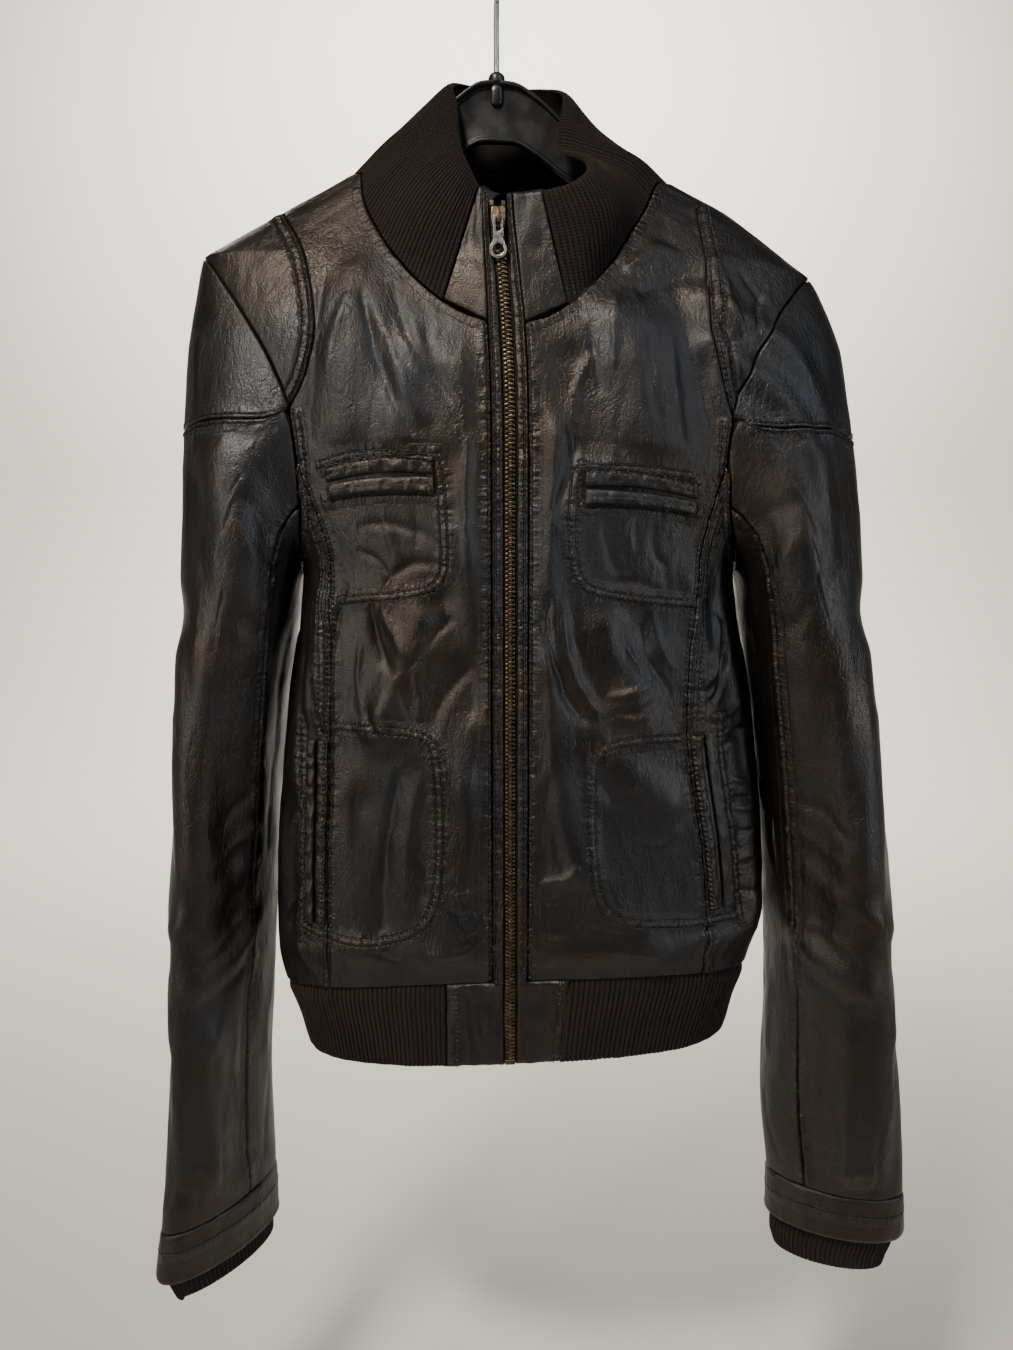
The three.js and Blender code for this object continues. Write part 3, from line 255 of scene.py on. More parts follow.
# The largest folds, as in the part: start, end, half width and height on the map of 200 mm from front to side
FOLDS = [
    (-52, -250, -66, -300, 15, 3.5), (-84, -205, -92, -292, 13, 3.5), (-28, -262, -34, -420, 16, 3),
    (34, -255, 44, -312, 13, -3), (62, -225, 84, -300, 16, 3.5), (96, -215, 104, -290, 12, -3),
    (112, -214, 150, -236, 8, 2.5), (112, -240, 148, -268, 8, 2.5), (26, -300, 20, -430, 13, 4),
    (20, -430, 38, -560, 14, 4), (-62, -405, -88, -470, 12, 4), (-44, -395, -22, -455, 13, -3.5),
    (-84, -460, -30, -505, 12, 3.5), (-20, -470, -34, -590, 15, 3), (-96, -520, -70, -640, 14, -2.5),
    (60, -410, 84, -470, 12, 3.5), (86, -410, 58, -450, 11, -2.5), (54, -480, 96, -520, 13, 3),
    (46, -560, 92, -622, 15, 2.5), (-140, -400, -150, -500, 13, 3.5), (-135, -520, -155, -600, 12, -3),
    (140, -400, 150, -500, 12, -3), (136, -500, 158, -600, 13, 3.5), (120, -380, 136, -450, 10, 2.5),
    (-150, -610, 150, -616, 9, 2), (-400, -610, -250, -616, 9, 2), (250, -616, 400, -610, 9, 2),
    (-318, -235, -336, -400, 20, 4), (336, -245, 330, -430, 20, 3.5), (-262, -300, -285, -410, 17, 3),
    (268, -300, 290, -420, 17, 3), (-392, -260, -372, -560, 24, -3), (-318, -470, -338, -590, 20, 3),
    (300, -480, 322, -590, 20, 3), (-232, -420, -250, -560, 15, -3), (236, -440, 256, -570, 15, -3),
    (372, -440, 380, -590, 20, 3),
]

# Finer creases: start, end, bow to the side, half width and height
CREASES = [
    # Right chest
    (-78, -218, -55, -296, 4, 5, -1.6), (-70, -216, -48, -290, 4, 6, 1.3), (-62, -212, -32, -278, 5, 5, -1.2),
    (-103, -206, -114, -300, -3, 5, -1.1), (-86, -222, -98, -272, 3, 6, 1.1), (-44, -238, -24, -296, 3, 6, -0.9),
    (-98, -350, -50, -358, -4, 5, -1.0), (-104, -364, -84, -384, -5, 4, -1.1), (-88, -384, -44, -374, -6, 5, -1.0),
    (-80, -344, -76, -372, 2, 5, 0.9), (-60, -340, -62, -362, 0, 4, -0.7), (-22, -300, -27, -372, 3, 5, 1.3),
    # Right waist
    (-98, -398, -78, -436, 3, 6, -2.4), (-88, -396, -66, -428, 3, 6, 1.9), (-96, -456, -84, -474, 2, 4, -1.6),
    (-60, -418, -58, -462, 2, 7, 1.5), (-26, -432, -52, -470, 4, 7, -1.9), (-40, -404, -64, -430, 2, 5, -1.2),
    (-104, -420, -100, -460, 2, 4, 0.9), (-74, -444, -60, -470, 1, 4, -0.9),
    (-72, -498, -84, -594, 4, 7, -1.8), (-60, -500, -68, -590, 4, 8, 1.4), (-48, -560, -22, -600, 4, 5, -0.9),
    (-36, -572, -12, -566, 2, 4, 0.9), (-34, -586, -13, -578, 2, 3, -0.8), (-30, -598, -14, -588, 2, 3, 0.8),
    (-92, -610, -60, -618, 2, 4, -0.8), (-52, -612, -20, -606, 2, 4, 0.8),
    # Right side
    (-118, -386, -128, -450, 3, 4, -1.2), (-136, -440, -126, -476, 2, 4, 1.2), (-150, -420, -142, -520, 3, 6, -1.6),
    (-128, -500, -160, -540, 3, 5, 1.1), (-132, -560, -168, -596, 3, 5, -1.2), (-150, -586, -140, -628, 3, 5, 1.0),
    # Left chest
    (72, -196, 106, -182, -3, 6, 2.0), (76, -212, 114, -200, -3, 7, -1.8), (60, -214, 57, -256, 1, 3.5, 1.2),
    (34, -292, 27, -340, -4, 5, -2.2), (44, -250, 36, -290, 3, 5, 1.1), (46, -232, 50, -272, 2, 4, -0.9),
    (76, -236, 84, -300, 3, 5, -0.9), (90, -238, 98, -306, 3, 5, 0.8), (58, -300, 64, -306, 0, 3, -0.5),
    (118, -196, 122, -240, 3, 4, -1.9), (126, -198, 130, -236, 2, 4, 1.4), (122, -240, 136, -284, 4, 4, -1.8),
    (112, -246, 128, -296, 3, 4, 1.2), (106, -262, 120, -306, 3, 4, -1.0), (130, -290, 126, -330, 2, 4, -1.4),
    (138, -196, 148, -216, 2, 3, -1.0), (150, -206, 138, -236, 2, 3, -1.3), (158, -214, 146, -240, 2, 3, 1.0),
    (58, -348, 70, -376, 3, 4, -0.9), (74, -344, 76, -366, 1, 3, 0.8), (88, -350, 100, -374, 3, 4, -0.9),
    (66, -384, 96, -388, -3, 4, -0.8),
    # Left waist
    (24, -392, 44, -466, 6, 4.5, -2.6), (34, -396, 54, -462, 6, 6, 1.9), (12, -400, 18, -470, 3, 5, 1.1),
    (62, -452, 88, -444, 2, 4, 1.1), (66, -462, 92, -456, 2, 4, -1.0), (92, -400, 104, -436, 3, 5, 1.1),
    (84, -410, 100, -452, 3, 4, -1.0), (74, -420, 82, -436, 1, 3, 0.9), (50, -478, 66, -520, 4, 6, -1.1),
    (84, -548, 104, -538, 2, 4, 0.9), (72, -512, 92, -500, 2, 5, 0.8), (18, -568, 40, -556, 2, 4, 1.2),
    (18, -580, 42, -570, 2, 4, -1.0), (16, -600, 36, -606, 2, 4, 0.9), (60, -612, 100, -618, 1, 3, 0.7),
    (24, -500, 34, -560, 4, 6, -1.1), (40, -596, 70, -604, 2, 4, -0.7),
    # Left side
    (124, -448, 146, -408, 3, 5, 2.6), (130, -458, 152, -424, 3, 4, -2.2), (128, -468, 160, -462, 2, 4, 1.8),
    (136, -484, 166, -476, 2, 4, -1.8), (134, -502, 158, -514, 3, 3, 1.3), (134, -514, 160, -526, 3, 3, -1.3),
    (134, -526, 162, -530, 3, 3, 1.4), (136, -540, 158, -546, 2, 3, -1.0), (134, -556, 156, -564, 2, 3, 1.0),
    (136, -576, 164, -588, 3, 4, -1.1), (146, -600, 176, -620, 3, 5, 1.1),
    # Back
    (-372, -240, -330, -330, 8, 8, -1.7), (376, -240, 336, -320, -8, 8, -1.7), (-240, -300, -300, -350, 6, 7, 1.5),
    (236, -310, 296, -360, -6, 7, 1.5), (-216, -392, -262, -420, 4, 6, -1.7), (216, -392, 264, -424, -4, 6, -1.7),
    (-212, -410, -240, -452, 4, 5, 1.4), (212, -412, 244, -456, -4, 5, 1.4), (-360, -400, -318, -440, 6, 8, -1.5),
    (340, -470, 296, -500, 6, 8, -1.5), (-296, -520, -250, -560, 6, 7, -1.4), (264, -520, 306, -566, -6, 7, -1.4),
    (-390, -560, -340, -610, 6, 7, 1.3), (396, -590, 350, -618, 6, 6, 1.1), (-300, -596, -262, -622, 4, 5, -1.2),
    (254, -600, 300, -624, 4, 5, -1.2), (-180, -420, -196, -560, 4, 6, 1.4), (186, -430, 196, -570, -4, 6, 1.4),
]


CREASE_RISE = 1.35


def calm(q, z):
    k = clamp((np.abs(q) - 11) / 14)
    k = k * clamp((-z - 160) / 60) * clamp((z + 636) / 14)
    pocket = np.hypot(np.maximum(0, np.abs(np.abs(q) - 78) - 40), np.maximum(0, np.abs(z + 327) - 12)) / 14
    k = k * (0.15 + 0.85 * clamp(pocket))
    slit = np.hypot(np.maximum(0, np.abs(np.abs(q) - 131) - 15) / 12, np.maximum(0, np.abs(z + 536) - 62) / 14)
    return k * (0.05 + 0.95 * clamp(slit))


def fold_sum(q, z):
    h = np.zeros(np.broadcast(q, z).shape)
    for q0, z0, q1, z1, width, top in FOLDS:
        dq, dz = q1 - q0, z1 - z0
        t = clamp(((q - q0) * dq + (z - z0) * dz) / (dq * dq + dz * dz))
        h = h + top * bump(np.hypot(q - q0 - t * dq, z - z0 - t * dz), width)
    return 1.2 * h * calm(q, z)


def crease_sum(q, z):
    h = np.zeros(np.broadcast(q, z).shape)
    for q0, z0, q1, z1, bow, width, top in CREASES:
        near = (np.abs(q - (q0 + q1) / 2) < abs(q1 - q0) / 2 + 30) & (np.abs(z - (z0 + z1) / 2) < abs(z1 - z0) / 2 + 30)
        if not near.any():
            continue
        qn, zn = q[near], z[near]
        dq, dz = q1 - q0, z1 - z0
        run = math.hypot(dq, dz)
        t = ((qn - q0) * dq + (zn - z0) * dz) / (run * run)
        d = ((qn - q0) * dz - (zn - z0) * dq) / run - bow * 4 * t * (1 - t)
        d = d + 1.2 * ripple(qn / 11 + q0, zn / 11 + z0)
        over = np.maximum(0, np.maximum(-t, t - 1)) * run
        taper = clamp(4 * t * (1 - t) + 0.25) ** 0.6 * bump(over, width)
        h[near] += CREASE_RISE * top * taper * bump(d, width * (0.58 + 0.22 * clamp(t))) / (1 + 0.25 * np.abs(d) / width)
    edge = clamp((np.abs(q) - 13) / 8) * clamp((z + 640) / 12)
    slit = np.hypot(np.maximum(0, np.abs(np.abs(q) - 78) - 37), np.maximum(0, np.abs(z + 327) - 12)) / 10
    side = np.hypot(np.maximum(0, np.abs(np.abs(q) - 131) - 10), np.maximum(0, np.abs(z + 536) - 60)) / 6
    return h * edge * (0.1 + 0.9 * clamp(slit)) * (0.15 + 0.85 * clamp(side))


def wander(q, z, height=0.35):
    """Slack in the leather that no single crease explains."""
    h = broad(q / 26 + 0.3 * broad(q / 40, z / 40), z / 38) * 1.0
    h = h + 0.5 * crumple(q / 11 + 0.6 * ripple(q / 18, z / 22), z / 17)
    patch = soft(0.5 + 0.9 * broad(q / 33 + 7, z / 41))
    h = h + 1.1 * patch * ripple(q / 5.5 + 0.8 * crumple(q / 20, z / 24), z / 16)
    return height * h * clamp((np.abs(q) - 12) / 8)


def body_height(a, z, p=None):
    a = (np.asarray(a, float) + 2) % 4 - 2
    q = a * 200
    z = z + 0 * q
    height = fold_sum(q, z) + crease_sum(q, z) + wander(np.where(q < -200, q + 800, q), z)
    back = np.abs(q) > 300
    if back.any():
        past = q[back] - 800 * np.sign(q[back])
        height[back] += fold_sum(past, z[back]) + crease_sum(past, z[back])
    return height


PUCKER = 2.0


class Line:
    """A seam or outline on a surface: dense points, with the ways along and across, and rows of sewing beside it."""

    def __init__(self, surface, u, v, rows=(), gully=0.0, swell=0.0, pucker=0.3, reach=9.0):
        self.surface, self.u, self.v = surface, np.asarray(u, float), np.asarray(v, float)
        self.rows, self.gully, self.swell, self.pucker, self.reach = rows, gully, swell, pucker, reach
        self.p, self.pu, self.pv, self.n = surface.frame(self.u, self.v)
        self.along = unit(np.gradient(self.p, axis=0))
        self.across = unit(np.cross(self.n, self.along))
        step = np.linalg.norm(np.diff(self.p, axis=0), axis=1)
        self.run = np.concatenate([[0], step.cumsum()])

    def beside(self, offset):
        """The line moved across the surface, as its own u and v."""
        a, b, c = (self.pu**2).sum(-1), (self.pu * self.pv).sum(-1), (self.pv**2).sum(-1)
        e, f = (self.pu * self.across).sum(-1) * offset, (self.pv * self.across).sum(-1) * offset
        det = a * c - b * b
        return self.u + (c * e - b * f) / det, self.v + (a * f - b * e) / det

    def near(self, points):
        """For points near the line: which ones, how far across, how far along, and how much the end fades."""
        low, high = self.p.min(0) - self.reach - 4, self.p.max(0) + self.reach + 4
        idx = np.where(((points > low) & (points < high)).all(-1))[0]
        if not len(idx):
            return idx, None, None, None
        best = np.empty(len(idx), int)
        for k in range(0, len(idx), 20000):
            part = points[idx[k:k + 20000]]
            d2 = (self.p**2).sum(1)[None] - 2 * part @ self.p.T
            best[k:k + 20000] = d2.argmin(1)
        off = points[idx] - self.p[best]
        d = (off * self.across[best]).sum(-1)
        t = (off * self.along[best]).sum(-1)
        past = np.maximum(0, np.abs(t) - 3)
        keep = (np.abs(d) < self.reach) & (past < 4) & (np.abs((off * self.n[best]).sum(-1)) < 12)
        return idx[keep], d[keep], (self.run[best] + t)[keep], bump(past[keep], 2)

    def relief(self, points, height, sewn):
        """Adds the seam's gully, swelling and puckers to height, and its place to the sewn channel."""
        idx, d, s, fade = self.near(points)
        if not len(idx):
            return
        low, high = (min(self.rows), max(self.rows)) if self.rows else (-3, 3)
        span = max(high - low, 3)
        inside = soft((d - low + 1.5) / 3) * soft((high + 1.5 - d) / 3)
        h = -self.gully * bump(d, 1.0) + self.swell * inside
        for row in self.rows:
            h = h - 0.5 * bump(d - row, 0.8)
        beat = 0.75 * ripple(s / 2.1 + 17 * span, d / 9) + 0.7 * crumple(s / 5.3, d / 12 + span)
        h = h + PUCKER * self.pucker * beat * bump(d - (low + high) / 2, span / 2 + 3.5)
        height[idx] += h * fade
        strength = bump(d - (low + high) / 2, span / 2 + 3) * fade
        more = strength > sewn[idx, 2]
        at = idx[more]
        mid, half, on = (low + high) / 2, (high - low) / 2, float(bool(self.rows))
        sewn[at, :3] = np.stack([s[more], d[more], strength[more]], -1)
        sewn[at, 3:] = mid, half, on


class Surface:
    """A wall that can be laid out by two numbers, with the lines sewn along it."""

    def __init__(self, frame_fn, height_fn):
        self.frame, self.height = frame_fn, height_fn
        self.lines = []

    def sew(self, u, v, **style):
        line = Line(self, u, v, **style)
        self.lines.append(line)
        return line

    def points(self, u, v, out=0.0):
        """Finished points, the way out, the rise at each and the sewn channel."""
        u, v = np.broadcast_arrays(np.asarray(u, float), np.asarray(v, float))
        shape = u.shape
        p, _, _, n = self.frame(u.ravel(), v.ravel())
        height = self.height(u.ravel(), v.ravel(), p)
        sewn = np.zeros((p.shape[0], 6))
        for line in self.lines:
            line.relief(p, height, sewn)
        q = p + n * (height + np.broadcast_to(out, shape).ravel())[:, None]
        return q.reshape(*shape, 3), n.reshape(*shape, 3), height.reshape(shape), sewn.reshape(*shape, 6)


body = Surface(body_frame, body_height)

# Meshes
collection = bpy.context.scene.collection
materials = {}


def make_object(name, points, faces, material, slot=None, replaces=(), rides="jacket", smooth=True, channels=None):
    """A mesh in metres from millimetre points and faces, a list of arrays of equal-sided faces."""
    points = np.asarray(points, float).reshape(-1, 3)
    mesh = bpy.data.meshes.new(name)
    mesh.vertices.add(len(points))
    mesh.vertices.foreach_set("co", (points * MM).astype(np.float32).ravel())
    faces = [np.asarray(f, np.int32) for f in faces if len(f)]
    loops = np.concatenate([f.ravel() for f in faces])
    counts = np.concatenate([np.full(len(f), f.shape[1], np.int32) for f in faces])
    mesh.loops.add(len(loops))
    mesh.loops.foreach_set("vertex_index", loops)
    mesh.polygons.add(len(counts))
    mesh.polygons.foreach_set("loop_start", np.concatenate([[0], counts.cumsum()[:-1]]).astype(np.int32))
    mesh.polygons.foreach_set("loop_total", counts)
    mesh.polygons.foreach_set("use_smooth", np.full(len(counts), smooth))
    mesh.update(calc_edges=True)
    for key, value in (channels or {}).items():
        value = np.asarray(value, np.float32)
        kind = "FLOAT_VECTOR" if value.ndim > 1 and value.shape[-1] == 3 else "FLOAT"
        layer = mesh.attributes.new(key, kind, "POINT")
        layer.data.foreach_set("vector" if kind == "FLOAT_VECTOR" else "value", value.ravel())
    mesh.materials.append(materials[material])
    obj = bpy.data.objects.new(name, mesh)
    collection.objects.link(obj)
    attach(obj, rides)
    mesh.set_sharp_from_angle(angle=math.radians(58))
    if replaces:
        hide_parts(*replaces)
    return obj


def grid_faces(rows, cols, tube=False, start=0):
    r, c = np.meshgrid(np.arange(rows - 1), np.arange(cols if tube else cols - 1), indexing="ij")
    c1 = (c + 1) % cols
    return np.stack([r * cols + c, r * cols + c1, (r + 1) * cols + c1, (r + 1) * cols + c], -1).reshape(-1, 4) + start


def enclosed(points, faces):
    """Six times the volume inside, to tell which way the faces look."""
    total = 0.0
    for f in faces:
        for k in range(1, f.shape[1] - 1):
            a, b, c = points[f[:, 0]], points[f[:, k]], points[f[:, k + 1]]
            total += (a * np.cross(b, c)).sum()
    return total


def shell(name, outer, inner, material, skip=3, tube=False, **keys):
    """A thin wall: a fine outer sheet, an inner sheet with one point to every few, and edges between them."""
    rows, cols = outer.shape[:2]
    ri = np.arange(0, rows, skip)
    ci = np.arange(0, cols, skip)
    if ri[-1] != rows - 1:
        ri = np.append(ri, rows - 1)
    if not tube and ci[-1] != cols - 1:
        ci = np.append(ci, cols - 1)
    coarse = inner[np.ix_(ri, ci)]
    base = rows * cols
    nr, nc = len(ri), len(ci)
    faces = [grid_faces(rows, cols, tube), grid_faces(nr, nc, tube, base)[:, ::-1]]
    rim = {}

    def edge(outer_ids, inner_ids):
        rim.setdefault(len(outer_ids), []).append([*outer_ids, *inner_ids[::-1]])

    ends = [*ci, cols] if tube else ci
    for k in range(len(ends) - 1):
        span = np.arange(ends[k], ends[k + 1] + 1) % cols
        kn = (k + 1) % nc
        edge([int(x) for x in span[::-1]], [base + kn, base + k])
        last = (rows - 1) * cols
        edge([last + int(x) for x in span], [base + (nr - 1) * nc + k, base + (nr - 1) * nc + kn])
    if not tube:
        for k in range(nr - 1):
            span = np.arange(ri[k], ri[k + 1] + 1)
            edge([int(x) * cols for x in span], [base + k * nc, base + (k + 1) * nc])
            edge([int(x) * cols + cols - 1 for x in span[::-1]], [base + (k + 1) * nc + nc - 1, base + k * nc + nc - 1])
    faces += [np.array(f) for f in rim.values()]
    points = np.concatenate([outer.reshape(-1, 3), coarse.reshape(-1, 3)])
    if enclosed(points, faces) < 0:
        faces = [f[:, ::-1] for f in faces]
    channels = {}
    for key, value in keys.pop("channels", {}).items():
        flat = value.reshape(rows * cols, *value.shape[2:])
        low = value[np.ix_(ri, ci)].reshape(nr * nc, *value.shape[2:]) * 0
        channels[key] = np.concatenate([flat, low])
    return make_object(name, points, faces, material, channels=channels, **keys)


def leather_sheet(surface, name, u, v, roll=(1, 1, 1, 1), thick=LEATHER, out=0.0, tuck=True, **keys):
    """A panel of leather over a surface, its edges rolled in towards their seams."""
    p, n, height, sewn = surface.points(u, v, out)
    left = np.linalg.norm(np.diff(p, axis=1), axis=-1).cumsum(1)
    left = np.concatenate([np.zeros((p.shape[0], 1)), left], 1)
    right = left[:, -1:] - left
    up = np.linalg.norm(np.diff(p, axis=0), axis=-1).cumsum(0)
    up = np.concatenate([np.zeros((1, p.shape[1])), up], 0)
    down = up[-1:] - up
    drop = sum(k * (1.2 * bump(d, 0.35) + 0.3 * bump(d, 1.1)) for k, d in zip(roll, (left, right, up, down)))
    flat, p = p, p - n * np.minimum(drop, 1.6)[..., None]
    edge = clamp(sum(bump(d, 2.2) for k, d in zip(roll, (left, right, up, down)) if k))
    # Wear: the crests of folds and creases and the rolled edges of seams
    lift = height - blur(height, 7)
    wear = clamp(0.5 + lift * 0.5) * 0.7 + 0.5 * edge * (0.5 + 0.5 * ripple(up / 5, left / 5))
    channels = {"sewn": sewn[..., :3], "rows": sewn[..., 3:], "wear": wear}
    if tuck:
        p, n, channels = turned_in(p, flat, n, channels)
    return shell(name, p, p - n * thick, "leather", channels=channels, slot="leather", **keys)


def turned_in(p, flat, n, channels):
    """The same sheet with its edges folded under, so that no seam can be seen through."""
    for axis in (1, 0):
        swap = (lambda a: a) if axis else (lambda a: a.swapaxes(0, 1))
        q, g, m = swap(p), swap(flat), swap(n)
        low = g[:, :1] + 2.1 * unit(g[:, :1] - g[:, 2:3]) - 4.4 * m[:, :1]
        high = g[:, -1:] + 2.1 * unit(g[:, -1:] - g[:, -3:-2]) - 4.4 * m[:, -1:]
        p = swap(np.concatenate([low, q, high], 1))
        flat = swap(np.concatenate([low, g, high], 1))
        n = swap(np.concatenate([m[:, :1], m, m[:, -1:]], 1))
        for key, value in channels.items():
            v = swap(value)
            channels[key] = swap(np.concatenate([v[:, :1], v, v[:, -1:]], 1))
    return p, n, channels


def blur(h, k):
    """A running average both ways over a grid."""
    for axis in (0, 1):
        size = min(k, h.shape[axis] // 2 * 2 - 1)
        if size < 3:
            continue
        pad = [(size // 2, size // 2) if i == axis else (0, 0) for i in range(2)]
        g = np.pad(h, pad, mode="edge").cumsum(axis)
        g = np.concatenate([np.zeros_like(np.take(g, [0], axis)), g], axis)
        a = np.take(g, range(size, g.shape[axis]), axis)
        b = np.take(g, range(0, g.shape[axis] - size), axis)
        h = (a - b) / size
    return h


def even(count):
    """Steps from 0 to 1, closer together near both ends."""
    step = np.ones(count - 1)
    step[:3], step[-3:] = (0.35, 0.5, 0.75), (0.75, 0.5, 0.35)
    run = np.append(0, step.cumsum())
    return run / run[-1]


def resample(u, v, spacing, surface):
    """A line through given points, refilled evenly along the surface."""
    t = np.arange(len(u), dtype=float)
    fine = np.linspace(0, t[-1], 40 * len(u))
    uu, vv = np.interp(fine, t, u), np.interp(fine, t, v)
    k = np.ones(25) / 25
    for _ in range(2):
        uu = np.concatenate([[uu[0]], np.convolve(np.pad(uu, 12, "reflect", reflect_type="odd"), k, "valid")[1:-1], [uu[-1]]])
        vv = np.concatenate([[vv[0]], np.convolve(np.pad(vv, 12, "reflect", reflect_type="odd"), k, "valid")[1:-1], [vv[-1]]])
    p = surface.frame(uu, vv)[0]
    run = np.concatenate([[0], np.linalg.norm(np.diff(p, axis=0), axis=1).cumsum()])
    want = np.linspace(0, run[-1], max(4, int(run[-1] / spacing)))
    return np.interp(want, run, uu), np.interp(want, run, vv)


def on_front(s, *pairs):
    """Steps and levels of a line on the front, from distances from the middle and levels."""
    x, z = np.array(pairs, float).T
    return resample(s * step_at_x(x, z), z, 2.0, body)


# Materials
class Shader:
    """A procedural material, built node by node."""

    def __init__(self, name, **settings):
        self.material = bpy.data.materials.new(name)
        self.material.use_nodes = True
        self.tree = self.material.node_tree
        self.surface = self.tree.nodes["Principled BSDF"]
        for key, value in settings.items():
            self.surface.inputs[key.replace("_", " ")].default_value = value
        materials[name] = self.material

    def add(self, kind, inputs=None, **settings):
        node = self.tree.nodes.new("ShaderNode" + kind)
        for key, value in settings.items():
            setattr(node, key, value)
        for key, value in (inputs or {}).items():
            if isinstance(value, bpy.types.NodeSocket):
                self.tree.links.new(value, node.inputs[key])
            else:
                node.inputs[key].default_value = value
        return node

    def place(self, scale=(1, 1, 1)):
        where = self.add("TexCoord").outputs["Object"]
        return self.add("Mapping", {"Vector": where, "Scale": scale}).outputs["Vector"]

    def noise(self, vector, scale, detail=3.0, rough=0.55, distortion=0.0):
        values = {"Vector": vector, "Scale": scale, "Detail": detail, "Roughness": rough, "Distortion": distortion}
        return self.add("TexNoise", values).outputs["Fac"]

    def warped(self, vector, scale, reach):
        """The place shifted by noise, so that cells on it look natural."""
        shift = self.add("TexNoise", {"Vector": vector, "Scale": scale, "Detail": 2.0}).outputs["Color"]
        scaled = self.add("VectorMath", {0: shift, "Scale": reach}, operation="SCALE").outputs[0]
        return self.add("VectorMath", {0: vector, 1: scaled}, operation="ADD").outputs[0]

    def math(self, operation, a, b=0.0, clamped=False):
        return self.add("Math", {0: a, 1: b}, operation=operation, use_clamp=clamped).outputs[0]

    def span(self, value, low, high, to_low=0.0, to_high=1.0):
        values = {"Value": value, "From Min": low, "From Max": high, "To Min": to_low, "To Max": to_high}
        return self.add("MapRange", values, interpolation_type="SMOOTHSTEP").outputs["Result"]

    def blend(self, fac, a, b):
        node = self.add("Mix", data_type="RGBA")
        for socket, value in ((node.inputs[0], fac), (node.inputs[6], a), (node.inputs[7], b)):
            if isinstance(value, bpy.types.NodeSocket):
                self.tree.links.new(value, socket)
            else:
                socket.default_value = value if isinstance(value, float) else (*value, 1)
        return node.outputs[2]

    def attribute(self, name):
        return self.add("Attribute", attribute_name=name)

    def use(self, socket, value):
        self.tree.links.new(value, self.surface.inputs[socket])

    def relief(self, *layers):
        """Bump layers of height, distance in metres and strength, one on top of the other."""
        normal = None
        for height, distance, strength in layers:
            values = {"Height": height, "Distance": distance, "Strength": strength}
            if normal is not None:
                values["Normal"] = normal
            normal = self.add("Bump", values).outputs["Normal"]
        self.use("Normal", normal)


